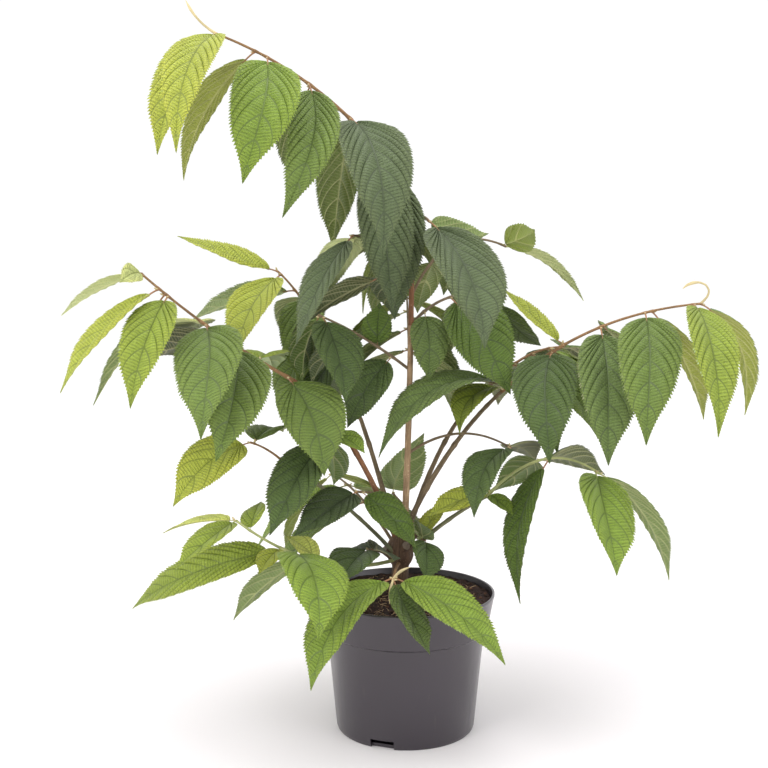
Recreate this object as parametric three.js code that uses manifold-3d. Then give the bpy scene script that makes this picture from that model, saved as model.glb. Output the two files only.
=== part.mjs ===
// A young snowball viburnum in its nursery pot, as an assembly of separate pieces.
// Millimetres, +Z up, the origin at the centre of the pot's flat underside, -Y is the front.
// Angles are degrees: a heading of 0 points to +X and 90 to +Y, a hang below 0 points down.
import * as THREE from "three";
import { mergeVertices } from "three/addons/utils/BufferGeometryUtils.js";
import Module from "manifold-3d";

const manifold = await Module();
manifold.setup();
const { Manifold, Mesh } = manifold;

// ---- the sizes that drive everything ----
const gap = 0.3; // air between neighbouring pieces
const pot = {
  height: 127.3,
  rimRadius: 82.2,
  collarRadius: 76.5, // the collar's own foot
  wallRadius: 72.9, // the wall just under the collar
  footRadius: 64,
  collarFoot: 95,
  wall: 1.6,
  floor: 3,
  sides: 40,
  notches: 3, // drainage slots in the foot
  firstNotch: -110,
  notchWidth: 22,
  notchHeight: 8,
  notchDepth: 14,
};
const soil = { top: 120, bank: 3, edge: 78.4, sides: 28 }; // bank: how much higher it lies at the wall
const crown = {
  centre: [-5, 0],
  foot: soil.top + gap,
  // height above the foot, radius
  profile: [[0, 11.5], [4, 9], [20, 7.6], [31, 8.6], [40, 12.6], [49, 13], [57, 9.5], [64, 4.6]],
  sides: 10,
  // cut stubs of old shoots: heading, height above the foot, rise, length, radius
  stubs: [[205, 36, 35, 20, 4.2], [-70, 44, 30, 18, 3.8], [20, 47, 40, 19, 4], [100, 40, 30, 20, 4.4]],
};
const leader = { foot: [-2, 0, 165], tip: [5, 0, 490], bow: [2, 0, 0], radius: [3.2, 2.1], sides: 8 };

// Boughs: from the crown to where they enter their mass of foliage.
const boughs = {
  left_bough: { from: [-7, -1, 171], to: [-100, -35, 327], bow: [3, -2, 20], radius: [2.7, 1.7] },
  right_bough: { from: [-3, 4, 178], to: [88, 18, 310], bow: [-2, 6, 10], radius: [2.7, 1.7] },
  low_right_bough: { from: [2, 2, 162], to: [74, -5, 217], bow: [0, 0, 4], radius: [2.2, 1.5] },
  thin_left_bough: { from: [-10, -7, 164], to: [-109, -45, 257], bow: [2, -2, 5], radius: [1.9, 1.3] },
  back_left_bough: { from: [-8, 5, 170], to: [-62, 70, 326], bow: [0, -4, 14], radius: [2.5, 1.6] },
  back_right_bough: { from: [1, 10.5, 175], to: [84, 70, 312], bow: [-4, 0, 18], radius: [2.5, 1.6] },
};

// Leaf proportions, as shares of the leaf's own length or width; petioleRadius is in millimetres.
const leafShape = {
  petiole: 0.08,
  petioleRadius: 1.1,
  thick: 0.024,
  fold: 0.22, // how far the margins rise, as a share of the half width
  curl: 22,
  // share along the blade, share of the half width
  outline: [[0, 0.26], [0.12, 0.78], [0.38, 1], [0.72, 0.62], [1, 0]],
};

// Sprays: one mass of foliage each. Stem from, to, bow at its middle, radius at both ends.
// Each leaf: place along the stem (0 to 1), heading, hang, length, width, then curl, roll and sweep where it
// isn't plain; sweep is how far the leaf's middle sways to its right side.
// pairs: more opposite pairs grown by the seeded rule, between the two shares named in within.
const sprays = {
  top_left_spray: {
    from: [5, 0, 488], to: [-160, -53, 620], bow: [10, -4, 15], radius: [2.1, 1.1],
    leaves: [
      [1, -126, -58, 123, 45, 32, -12, -2], [0.98, -104, -58, 146, 40, 38, -1, 3],
      [0.84, 158, -57, 127, 42, 24, 0, -2], [0.79, -101, -62, 124, 55, 37, -15, -6],
      [0.6, -105, -64, 129, 41, 32, -17, -13], [0.59, 103, -54, 105, 46, 22, -45],
      [0.39, -70, -58, 142, 57, 42, 5, -5], [0.38, 124, -71, 117, 44, 10, 0, 2],
      [0.2, -84, -78, 141, 50, 19, -11, 4], [0.12, -80, -84, 132, 46, 22, 0, 0], [1, 162, 50, 27, 8],
    ],
  },
  upper_left_spray: {
    from: [4, 0, 430], to: [-48, -35, 453], bow: [0, 0, 6], radius: [1.5, 1],
    leaves: [[0.98, -125, -47, 123, 39, 18, 7, -5], [0.9, 120, -44, 84, 40]],
  },
  side_left_spray: {
    from: [4, 0, 405], to: [-22, 12, 416], bow: [0, 0, 2], radius: [1.4, 1],
    leaves: [[1, 168, -33, 99, 40, 15, 22, -1], [0.9, 80, -30, 80, 40]],
  },
  middle_left_spray: {
    from: [4, 0, 332], to: [-79, -12, 383], bow: [0, 0, 4], radius: [1.5, 1],
    leaves: [
      [0.98, 140, -68, 66, 38, 20], [0.95, -68, -53, 88, 50, 20, -15], [0.36, 76, 86, 40, 28, 10],
      [0.2, -164, -55, 76, 42, 20, -40], [0.6, 145, -45, 70, 38],
    ],
  },
  top_right_spray: {
    from: [5, 0, 471], to: [19, -22, 466], bow: [0, 0, 3], radius: [1.4, 1],
    leaves: [[1, -55, -55, 132, 66, 25, 5, -5], [0.9, -3, -12, 56, 25, 9, -80, -8], [0.7, 28, -60, 62, 38]],
  },
  upper_right_spray: {
    from: [4, 2, 398], to: [93, 40, 444], bow: [-6, 0, 24], radius: [1.6, 1],
    leaves: [
      [0.97, -61, 16, 52, 29, 10, -60, -3], [1, 26, -31, 102, 24, 27, -6, -3], [0.3, 112, -57, 60, 36],
      [0.7, 110, -36, 92, 44],
    ],
  },
  middle_right_spray: {
    from: [4, 1, 373], to: [84, 45, 394], bow: [-3, 0, 14], radius: [1.6, 1],
    leaves: [
      [0.5, -40, -49, 110, 56, 20, 39, -1], [1, 34, -40, 72, 38, 18, 160], [0.18, -95, -62, 66, 36, 20],
      [0.9, 118, -40, 90, 44],
    ],
  },
  right_spray: {
    from: [88, 18, 310], to: [256, -35, 394], bow: [-7, 0, 16], radius: [1.7, 1],
    leaves: [
      [0.04, -142, -18, 143, 51, 43, -10, 2], [0.02, -140, -35, 65, 37, 44, -6, 7],
      [0.3, -102, -48, 120, 56, 37, 4, 1], [0.34, 62, -19, 92, 46, 20, 10],
      [0.36, 144, 39, 81, 22, 7, -12, -4], [0.55, -89, -59, 133, 55, 29, -10, 5],
      [0.56, 65, -33, 106, 48, 20, 30], [0.76, -97, -53, 133, 52, 36, 4, -2],
      [0.79, 33, -57, 120, 42, 18, 12], [0.97, -94, -48, 138, 43, 38, -20, 7],
      [1, 31, -59, 121, 37, 36, 15, -3], [1, 105, 31, 32, 10, 20],
    ],
  },
  low_right_spray: {
    from: [74, -5, 217], to: [172, -24, 242], bow: [0, -4, 24], radius: [1.5, 1],
    leaves: [
      [0.02, -58, -23, 36, 18, 15, 10], [0.04, -160, -20, 64, 34, 14, -20],
      [0.46, 125, -30, 78, 31, 23, 39, 5], [0.56, -133, -71, 132, 40, 24, 17, 2],
      [0.54, 43, -16, 93, 37, 25, -31, -6], [0.97, -89, -42, 109, 54, 23, -26, 7],
      [1, 28, -53, 136, 38, 28, 0, -3],
    ],
  },
  thin_right_spray: {
    from: [4, 1, 257], to: [95, -5, 262], bow: [0, 0, 15], radius: [1.5, 1],
    leaves: [[1, -121, -32, 94, 41, 30, 9, 2], [0.98, 55, -21, 60, 36, 20, -15]],
  },
  left_spray: {
    from: [-100, -35, 327], to: [-223, -75, 421], bow: [-2, 0, -4], radius: [1.7, 1],
    leaves: [
      [1, -113, -12, 32, 18, 20, -54, 2], [1, 160, -24, 90, 26, 15, 5, 3],
      [0.88, -144, -42, 122, 41, 18, -1], [0.82, -105, -46, 111, 41, 33, -5, -2],
      [0.84, 156, -52, 125, 36, 5, -14, 1], [0.57, -82, -41, 127, 56, 31, 13, -8],
      [0.6, 122, -16, 97, 43, 15, 2, 6], [0.36, -97, -44, 122, 56, 32, -17, -5],
      [0.42, 137, -12, 111, 47, 18, 30, 5], [0.22, 87, -11, 104, 46], [0.04, -49, -56, 97, 61, 24, 12, -3],
    ],
  },
  left_foot_spray: {
    from: [-26.3, -10.2, 221], to: [-44, -28, 226], bow: [0, 0, 0], radius: [1.3, 1],
    leaves: [[1, -128, -14, 92, 39, 14, -18, -4], [0.8, -17, -45, 70, 38, 20, 25]],
  },
  left_middle_spray: {
    from: [-57, -21, 281], to: [-74, -34, 272], bow: [0, 0, 3], radius: [1.3, 1],
    leaves: [
      [1, -124, -43, 102, 48, 19, -11, -3], [0.5, -41, -22, 40, 26, 15, 10],
      [0.8, 85, -57, 58, 34, 20, 35],
    ],
  },
  thin_left_spray: {
    from: [-109, -45, 257], to: [-136, -50, 274], bow: [0, 0, 2], radius: [1.3, 0.9],
    leaves: [[1, -144, -30, 90, 47, 23, -28, 4], [0.9, 75, 0, 70, 34]],
  },
  low_left_spray: {
    from: [-8, -4, 158], to: [-144, -95, 215], bow: [0, -4, -18], radius: [2, 1],
    leaves: [
      [0.72, 168, -24, 155, 39, 29, -41, -6], [0.66, -77, -24, 109, 58, 36, -14, -2],
      [1, 160, -13, 72, 28, 15, -2, -1], [1, -131, -19, 77, 32, 15, 1, -4],
      [0.58, 176, -42, 86, 40, 19, 33], [0.5, 163, 32, 39, 26, 15, -15], [0.92, 77, 29, 38, 24, 15, -20],
      [0.74, -138, -37, 36, 24, 15],
    ],
  },
  front_spray: {
    from: [-6, -4, 154], to: [-12, -70, 158], bow: [0, 0, 3], radius: [1.9, 1.1],
    leaves: [
      [0.97, -131, -34, 127, 60, 29, 7, 4], [0.97, -30, -31, 121, 50, 25, 12],
      [1, -51, -51, 72, 36, 3, -9, 2], [1, 10, 32, 18, 6], [1, -95, -60, 22, 6],
    ],
  },
  foot_left_spray: {
    from: [-9, -4, 156], to: [-34, -24, 172], bow: [0, 0, 3], radius: [1.6, 1],
    leaves: [[1, -117, -18, 60, 46, 18], [0.9, -70, 0, 42, 32, 18, -35], [0.8, 170, -20, 50, 36]],
  },
  foot_right_spray: {
    from: [0, -2, 164], to: [18, -12, 178], bow: [0, 0, 3], radius: [1.6, 1],
    leaves: [[1, -95, -40, 44, 32, 18, -30], [0.85, -102, 46, 32, 26, 10, -35], [0.7, 30, 62, 50, 22, 10]],
  },
  centre_spray: {
    from: [0, 1, 205], to: [-12, 10, 217], bow: [0, 0, 0], radius: [1.4, 1],
    leaves: [[1, 60, 40, 76, 42, 23, 185, 8]],
  },
  back_left_spray: {
    from: [-62, 70, 326], to: [-122, 76, 420], bow: [0, 0, 10], radius: [1.6, 1],
    leaves: [[1, 171, 18, 107, 31, 5, -22, -5], [0.72, 167, -15, 111, 44, 14, 24]],
    pairs: 4, within: [0.08, 0.95], seed: 34,
  },
  back_right_spray: {
    from: [84, 70, 312], to: [160, 102, 345], bow: [0, 0, 10], radius: [1.6, 1],
    leaves: [], pairs: 4, within: [0.3, 1], seed: 19,
  },
  back_top_spray: {
    from: [5, 1, 420], to: [-2, 128, 460], bow: [0, 0, 14], radius: [1.6, 1],
    leaves: [], pairs: 4, within: [0.5, 1], seed: 196,
  },
  back_middle_spray: {
    from: [4, 1, 300], to: [3, 120, 393], bow: [0, 0, 10], radius: [1.6, 1],
    leaves: [], pairs: 4, within: [0.4, 1], seed: 307,
  },
  low_back_spray: {
    from: [-5, 4, 160], to: [-73, 132, 212], bow: [0, 0, 10], radius: [1.8, 1],
    leaves: [], pairs: 3, within: [0.5, 1], seed: 271,
  },
};
// The rule for leaves that are grown: middle value and half range.
const grown = { length: [104, 16], width: 0.46, hang: [-50, 18], side: [72, 22] };

// ---- small vector and solid helpers ----
const rad = Math.PI / 180;
const add = (a, b, k = 1) => a.map((v, i) => v + b[i] * k);
const sub = (a, b) => a.map((v, i) => v - b[i]);
const dot = (a, b) => a[0] * b[0] + a[1] * b[1] + a[2] * b[2];
const cross = (a, b) => [a[1] * b[2] - a[2] * b[1], a[2] * b[0] - a[0] * b[2], a[0] * b[1] - a[1] * b[0]];
const unit = (a) => a.map((v) => v / Math.hypot(...a));
const pointing = (heading, hang) => [
  Math.cos(hang * rad) * Math.cos(heading * rad),
  Math.cos(hang * rad) * Math.sin(heading * rad),
  Math.sin(hang * rad),
];

// A seeded row of numbers from 0 to 1.
function seeded(seed) {
  let state = seed * 7919 + 17;
  return () => {
    state = (state * 16807) % 2147483647;
    return state / 2147483647;
  };
}

// A closed geometry as a solid that can be joined and cut.
function solidOf(geometry) {
  geometry.deleteAttribute("normal");
  geometry.deleteAttribute("uv");
  const merged = mergeVertices(geometry);
  const vertProperties = new Float32Array(merged.attributes.position.array);
  return new Manifold(new Mesh({ numProp: 3, vertProperties, triVerts: new Uint32Array(merged.index.array) }));
}

// A profile of [height, radius] turned about the Z axis.
function turned(profile, sides) {
  const points = profile.map(([height, radius]) => new THREE.Vector2(radius, height));
  points.unshift(new THREE.Vector2(0, points[0].y));
  points.push(new THREE.Vector2(0, points.at(-1).y));
  return solidOf(new THREE.LatheGeometry(points, sides).rotateX(Math.PI / 2));
}

// A closed solid through rings of equal count; a ring of one point ends it in a tip.
function loft(rings) {
  const points = [], faces = [], starts = [];
  for (const ring of rings) {
    starts.push(points.length);
    points.push(...ring);
  }
  for (let k = 0; k + 1 < rings.length; k++) {
    const [a, b, n] = [starts[k], starts[k + 1], rings[k].length];
    for (let i = 0; i < n; i++) {
      const j = (i + 1) % n;
      if (rings[k + 1].length === 1) faces.push([a + i, a + j, b]);
      else faces.push([a + i, a + j, b + j], [a + i, b + j, b + i]);
    }
  }
  const n = rings[0].length, last = starts.at(-1);
  for (let i = 1; i + 1 < n; i++) {
    faces.push([0, i + 1, i]);
    if (rings.at(-1).length > 1) faces.push([last, last + i, last + i + 1]);
  }
  const geometry = new THREE.BufferGeometry();
  geometry.setAttribute("position", new THREE.Float32BufferAttribute(points.flat(), 3));
  geometry.setIndex(faces.flat());
  return solidOf(geometry);
}

function circle(centre, radius, sides, normal = [0, 0, 1], turn = 0, aside = [0, 1, 0]) {
  const along = unit(normal);
  const across = unit(cross(aside, along));
  const third = cross(along, across);
  return Array.from({ length: sides }, (_, i) => {
    const angle = ((i + turn) * 2 * Math.PI) / sides;
    return add(add(centre, across, radius * Math.cos(angle)), third, radius * Math.sin(angle));
  });
}

// A limb's line: from, to, and a bow that lifts its middle.
function lineOf({ from, to, bow }, steps) {
  return Array.from({ length: steps + 1 }, (_, i) => {
    const u = i / steps;
    return add(add(from, sub(to, from), u), bow, 4 * u * (1 - u));
  });
}
const placeOn = (limb, u) => add(add(limb.from, sub(limb.to, limb.from), u), limb.bow, 4 * u * (1 - u));

// A tapering tube along a line; swell makes it fatter and longer, to cut others clear of it.
function limbSolid(limb, sides, steps, swell = 0) {
  const line = lineOf(limb, steps);
  const steep = Math.abs(unit(sub(limb.to, limb.from))[2]) > 0.9;
  const aside = steep ? [0, 1, 0] : [0, 0, 1];
  const rings = line.map((centre, i) => {
    const along = sub(line[Math.min(i + 1, steps)], line[Math.max(i - 1, 0)]);
    const radius = limb.radius[0] + ((limb.radius[1] - limb.radius[0]) * i) / steps + swell;
    const end = i === 0 ? -swell : i === steps ? swell : 0;
    return circle(add(centre, unit(along), end), radius, sides, along, 0, aside);
  });
  return loft(rings);
}

// ---- pot and soil ----
function potSolid() {
  const { height, rimRadius, collarRadius, wallRadius, footRadius, collarFoot, wall, floor } = pot;
  const outside = turned(
    [[0, footRadius - 1.5], [2, footRadius], [collarFoot - 2, wallRadius], [collarFoot, collarRadius],
      [height - 2, rimRadius], [height, rimRadius - 0.7]],
    pot.sides,
  );
  const inside = turned(
    [[floor, footRadius - wall - 1], [collarFoot, wallRadius - wall], [collarFoot + 2, collarRadius - wall],
      [height + 1, rimRadius - wall]],
    pot.sides,
  );
  let body = outside.subtract(inside);
  const { notches, firstNotch, notchDepth, notchWidth, notchHeight } = pot;
  for (let i = 0; i < notches; i++) {
    const slot = new THREE.BoxGeometry(notchDepth, notchWidth, notchHeight + 2);
    slot.translate(footRadius + 2, 0, notchHeight / 2 - 1);
    slot.rotateZ((firstNotch + (i * 360) / notches) * rad);
    body = body.subtract(solidOf(slot));
  }
  return body;
}

function soilSolid() {
  const { wall, floor, footRadius, wallRadius, collarFoot, collarRadius } = pot;
  const slack = gap + 0.7; // its flats stay clear of the pot's flats too
  const { top, bank, edge, sides } = soil;
  return turned(
    [[floor + gap, footRadius - wall - 1 - slack - 2], [collarFoot - 0.5, wallRadius - wall - slack],
      [collarFoot + 4, collarRadius - wall - slack - 0.2], [top + bank, edge],
      [top + bank * 0.4, edge * 0.55], [top, edge * 0.26]],
    sides,
  );
}

// ---- crown, leader and boughs ----
// One ring of the knotty crown: a circle a little off centre, with its own lumps.
function crownRing(k, swell) {
  const [rise, radius] = crown.profile[k];
  const end = k === 0 ? -swell : k === crown.profile.length - 1 ? swell : 0;
  const [x, y] = crown.centre, z = crown.foot + rise + end;
  const middle = [x + (k % 2 ? 0.8 : -0.6), y + (k % 3) - 1, z];
  const ring = circle(middle, radius, crown.sides, [0, 0, 1], 0.5 * (k % 2));
  const lump = (i) => 1 + 0.1 * Math.sin(2.3 * i + 1.7 * k) + swell / radius;
  return ring.map((point, i) => add([x, y, z], sub(point, [x, y, z]), lump(i)));
}

function crownSolid(swell = 0) {
  const [x, y] = crown.centre;
  const rings = crown.profile.map((_, k) => crownRing(k, swell));
  const stubs = crown.stubs.map(([heading, rise, hang, length, radius]) => {
    const from = [x, y, crown.foot + rise];
    const to = add(from, pointing(heading, hang), length);
    return limbSolid({ from, to, bow: [0, 0, 0], radius: [radius * 1.2, radius] }, 7, 1, swell);
  });
  const stem = limbSolid({ ...leader, from: leader.foot, to: leader.tip }, leader.sides, 6, swell);
  return Manifold.union([loft(rings), ...stubs, stem]);
}

// ---- leaves ----
// The leaf's own frame: where it starts, its chord, its upper side and its width's direction.
function leafFrame(start, heading, hang, length, width, curl, roll, sweep) {
  const chord = pointing(heading, hang);
  const up = pointing(heading, hang + 90);
  const side = cross(chord, up);
  const c = Math.cos(roll * rad), s = Math.sin(roll * rad);
  return {
    start, chord, length, width, curl, sweep,
    up: add(up.map((v) => v * c), side, s),
    side: add(side.map((v) => v * c), up, -s),
  };
}

// A section of the leaf at share u: middle, left edge, right edge, upward direction.
function section(leaf, u, halfWidth) {
  const bend = Math.tan(leaf.curl * rad), arch = u * (1 - u);
  const swept = add(add(leaf.start, leaf.chord, leaf.length * u), leaf.side, 4 * leaf.sweep * arch);
  const middle = add(swept, leaf.up, leaf.length * bend * arch);
  const normal = unit(add(leaf.up, leaf.chord, -bend * (1 - 2 * u)));
  const raised = add(middle, normal, leafShape.fold * halfWidth);
  const edge = (side) => add(raised, leaf.side, side * halfWidth);
  return { middle, normal, left: edge(-1), right: edge(1) };
}

function leafSections(leaf) {
  const { petiole, outline } = leafShape;
  return outline.map(([t, share]) => section(leaf, petiole + t * (1 - petiole), (share * leaf.width) / 2));
}

function leafSolid(leaf) {
  const { petiole, petioleRadius, thick, outline } = leafShape;
  const ring = ({ middle, normal, left, right }, half) => {
    return [left, add(middle, normal, half), right, add(middle, normal, -half)];
  };
  const stalk = [0, petiole * 0.75].map((u) => ring(section(leaf, u, petioleRadius), petioleRadius));
  const half = (k) => (thick * leaf.length * (1 - 0.35 * outline[k][0])) / 2;
  const last = outline.length - 1;
  const blade = leafSections(leaf).map((part, k) => (k === last ? [part.middle] : ring(part, half(k))));
  return loft([...stalk, ...blade]);
}

// What a leaf is felt out with: its faces, and short lines along and through it.
function feel(leaf) {
  const parts = leafSections(leaf);
  const stalk = [0.06, leafShape.petiole].map((u) => section(leaf, u, 0).middle);
  const faces = [], lines = [];
  parts.forEach((a, k) => {
    for (const p of [a.left, a.middle, a.right]) lines.push([add(p, a.normal, -3.4), add(p, a.normal, 3.4)]);
    lines.push([add(a.left, leaf.side, -1.5), a.middle], [a.middle, add(a.right, leaf.side, 1.5)]);
    const b = parts[k + 1];
    if (!b) return;
    faces.push([a.left, a.middle, b.left], [a.middle, b.middle, b.left]);
    faces.push([a.middle, a.right, b.middle], [a.right, b.right, b.middle]);
    lines.push([a.left, b.left], [a.middle, b.middle], [a.right, b.right]);
  });
  const tip = parts.at(-1).middle;
  lines.push([tip, add(tip, leaf.chord, 2.5)]);
  return { faces, lines, stalk, ...ball([...parts.flatMap((p) => [p.left, p.right]), stalk[0]]) };
}

// A limb is felt out with two crossed ribbons, wider than it by the clearance.
function feelLimb(limb) {
  const line = lineOf(limb, 8), faces = [], lines = [];
  for (let i = 0; i < 8; i++) {
    const [a, b] = [line[i], line[i + 1]];
    const along = unit(sub(b, a)), across = unit(cross(along, [0.3, 0.2, 0.93])), third = cross(along, across);
    for (const d of [across, third]) {
      const r = limb.radius[0] + 1.2;
      const [p, q, s, t] = [add(a, d, -r), add(a, d, r), add(b, d, r), add(b, d, -r)];
      faces.push([p, q, s], [p, s, t]);
    }
    lines.push([a, b]);
  }
  return { faces, lines, stalk: null, ...ball(line) };
}

function ball(points) {
  const middle = points.reduce((sum, p) => add(sum, p, 1 / points.length), [0, 0, 0]);
  return { middle, radius: Math.max(...points.map((p) => Math.hypot(...sub(p, middle)))) + 4 };
}

function crosses([a, b], [p, q, r]) {
  const edge1 = sub(q, p), edge2 = sub(r, p), along = sub(b, a);
  const h = cross(along, edge2), det = dot(edge1, h);
  if (Math.abs(det) < 1e-9) return false;
  const from = sub(a, p), u = dot(from, h) / det;
  if (u < 0 || u > 1) return false;
  const g = cross(from, edge1), v = dot(along, g) / det;
  if (v < 0 || u + v > 1) return false;
  const t = dot(edge2, g) / det;
  return t >= 0 && t <= 1;
}

function touch(one, other, sameStem) {
  if (Math.hypot(...sub(one.middle, other.middle)) > one.radius + other.radius) return false;
  const hit = (lines, faces) => lines.some((l) => faces.some((f) => crosses(l, f)));
  if (hit(one.lines, other.faces) || hit(other.lines, one.faces)) return true;
  if (sameStem) return false;
  return hit(one.stalk ? [one.stalk] : [], other.faces) || hit(other.stalk ? [other.stalk] : [], one.faces);
}

// The pot's rim and wall, and the soil, as a space that leaves stay out of.
function inPot([x, y, z]) {
  const reach = Math.hypot(x, y);
  if (z > pot.height + 4) return false;
  if (z > pot.collarFoot) return reach < pot.rimRadius + 3;
  return reach < pot.collarRadius + 3;
}

// ---- growing the sprays ----
// A leaf that would touch something swings aside and up or down, the least swing first.
const swings = [];
for (let turn = -24; turn <= 24; turn += 4)
  for (let lift = -18; lift <= 18; lift += 6) swings.push([turn, lift]);
swings.sort((a, b) => a[0] ** 2 + 2 * a[1] ** 2 - b[0] ** 2 - 2 * b[1] ** 2);
const leaderLimb = { ...leader, from: leader.foot, to: leader.tip };
const crownLimb = {
  from: [...crown.centre, crown.foot],
  to: [...crown.centre, crown.foot + 62],
  bow: [0, 0, 0],
  radius: [14, 14],
};
const limbs = [...Object.values(boughs), leaderLimb, crownLimb];
const felt = limbs.map((limb) => ({ owner: limb, shape: feelLimb(limb) }));

function placeLeaf(spray, [at, heading, hang, length, width, curl = leafShape.curl, roll = 0, sweep = 0]) {
  for (const [turn, lift] of swings) {
    const start = placeOn(spray, at);
    const leaf = leafFrame(start, heading + turn, hang + lift, length, width, curl, roll, sweep);
    const shape = feel(leaf);
    if (leafSections(leaf).flatMap((p) => [p.left, p.middle, p.right]).some(inPot)) continue;
    const near = felt.filter((other) => length > 40 || other.owner !== spray || other.shape.stalk);
    if (near.some((other) => touch(shape, other.shape, other.owner === spray))) continue;
    felt.push({ owner: spray, shape });
    return leafSolid(leaf);
  }
  return null;
}

function grownLeaves(spray) {
  const next = seeded(spray.seed), spread = (value, half) => value + half * (2 * next() - 1);
  const along = sub(spray.to, spray.from), heading = Math.atan2(along[1], along[0]) / rad;
  const leaves = [];
  for (let i = 0; i < spray.pairs; i++) {
    const [low, high] = spray.within, at = low + ((high - low) * i) / Math.max(1, spray.pairs - 1);
    for (const side of [1, -1]) {
      const length = spread(...grown.length);
      const aside = heading + side * spread(...grown.side);
      leaves.push([at, aside, spread(...grown.hang), length, grown.width * length]);
    }
  }
  return leaves;
}

// Swollen limbs, which cut the boughs and sprays clear; the lumpy crown needs the most.
const crownCut = crownSolid(gap * 1.8);
const limbCuts = [crownCut, ...Object.values(boughs).map((bough) => limbSolid(bough, 6, 6, gap * 1.15))];

function largest(solid) {
  return solid.decompose().sort((a, b) => b.volume() - a.volume())[0];
}

const pieces = {};
pieces.pot = potSolid();
pieces.soil = soilSolid();
pieces.crown_and_leader = crownSolid();
for (const [name, bough] of Object.entries(boughs))
  pieces[name] = largest(limbSolid(bough, 6, 6).subtract(crownCut));
for (const spray of Object.values(sprays)) {
  spray.solids = [limbSolid(spray, 3, 6)];
  felt.push({ owner: spray, shape: feelLimb({ ...spray, radius: [spray.radius[0] * 0.6, 0] }) });
}
for (const pass of ["named", "grown"])
  for (const spray of Object.values(sprays)) {
    const leaves = pass === "named" ? spray.leaves : spray.pairs ? grownLeaves(spray) : [];
    for (const leaf of leaves) {
      const solid = placeLeaf(spray, leaf);
      if (solid) spray.solids.push(solid);
    }
  }
for (const [name, spray] of Object.entries(sprays))
  pieces[name] = largest(Manifold.union(spray.solids).subtract(Manifold.union(limbCuts)));

// ---- materials and the group ----
const looks = {
  pot: { color: 0x4a474c, roughness: 0.6 },
  soil: { color: 0x33211a, roughness: 1 },
  wood: { color: 0x7a5c40, roughness: 0.8 },
  leaf: { color: 0x6d8f3c, roughness: 0.55, side: THREE.DoubleSide },
};
const lookOf = (name) =>
  name === "pot" ? looks.pot : name === "soil" ? looks.soil : name.endsWith("spray") ? looks.leaf : looks.wood;

const group = new THREE.Group();
group.name = "snowball_viburnum";
for (const [name, solid] of Object.entries(pieces)) {
  const { vertProperties, triVerts } = solid.getMesh();
  const geometry = new THREE.BufferGeometry();
  geometry.setAttribute("position", new THREE.BufferAttribute(new Float32Array(vertProperties), 3));
  geometry.setIndex(new THREE.BufferAttribute(new Uint32Array(triVerts), 1));
  geometry.computeVertexNormals();
  const mesh = new THREE.Mesh(geometry, new THREE.MeshStandardMaterial(lookOf(name)));
  mesh.name = name;
  group.add(mesh);
}

export default group;
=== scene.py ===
import math

import bpy
import numpy as np
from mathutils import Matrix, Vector, noise


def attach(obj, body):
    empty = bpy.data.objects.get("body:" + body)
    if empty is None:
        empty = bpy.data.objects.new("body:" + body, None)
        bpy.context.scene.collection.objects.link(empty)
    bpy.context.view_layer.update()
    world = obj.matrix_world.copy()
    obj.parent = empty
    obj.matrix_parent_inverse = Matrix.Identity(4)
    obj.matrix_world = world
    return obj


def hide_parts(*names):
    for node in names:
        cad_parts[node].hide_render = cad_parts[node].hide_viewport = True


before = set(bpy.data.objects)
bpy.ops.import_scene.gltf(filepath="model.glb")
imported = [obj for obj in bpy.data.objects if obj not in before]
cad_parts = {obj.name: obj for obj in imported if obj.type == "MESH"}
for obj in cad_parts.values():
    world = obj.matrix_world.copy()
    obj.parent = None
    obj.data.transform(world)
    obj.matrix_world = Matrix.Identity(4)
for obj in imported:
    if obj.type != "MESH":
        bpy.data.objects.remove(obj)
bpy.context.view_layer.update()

mm = 0.001  # the sizes below are millimetres, angles are degrees


def report(words):
    print("viburnum:", words)


# small helpers
def unit(a):
    return a / np.linalg.norm(a, axis=-1, keepdims=True)


def arr(*values):
    return np.array(values, float)


def pointing(heading, hang):
    # 0 heads to +X and 90 to +Y; a hang below 0 points down
    h, d = math.radians(heading), math.radians(hang)
    return arr(math.cos(d) * math.cos(h), math.cos(d) * math.sin(h), math.sin(d))


def seeded(seed):
    state = seed * 7919 + 17
    while True:
        state = (state * 16807) % 2147483647
        yield state / 2147483647


def smooth(x, low=0.0, high=1.0):
    t = np.clip((x - low) / (high - low), 0, 1)
    return t * t * (3 - 2 * t)


def linear(red, green, blue):
    # a screen colour, 0 to 255, as Blender's linear colour
    return tuple(((v / 255 + 0.055) / 1.055) ** 2.4 if v > 10 else v / 3294.6 for v in (red, green, blue))


def ringFaces(rings, sides, first=0, inward=False):
    # four-cornered faces between rings of vertices that follow each other
    faces = []
    for k in range(rings - 1):
        low, high = first + k * sides, first + (k + 1) * sides
        for i in range(sides):
            j = (i + 1) % sides
            if inward:
                faces.append((low + i, high + i, high + j, low + j))
            else:
                faces.append((low + i, low + j, high + j, high + i))
    return faces


class Draft:
    # vertices in millimetres, faces and their material numbers, gathered until asPiece makes the mesh
    def __init__(self):
        self.points, self.faces, self.marks, self.maps, self.count = [], [], [], [], 0

    def add(self, points, faces, mark=0, flat=None):
        # flat gives each vertex its place in the pattern, across and along, in metres
        self.points.append(np.asarray(points, float))
        self.faces += [tuple(int(i) + self.count for i in face) for face in faces]
        self.marks += [mark] * len(faces) if isinstance(mark, int) else list(mark)
        self.maps.append(np.zeros((len(points), 2)) if flat is None else np.asarray(flat, float))
        self.count += len(points)


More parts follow.
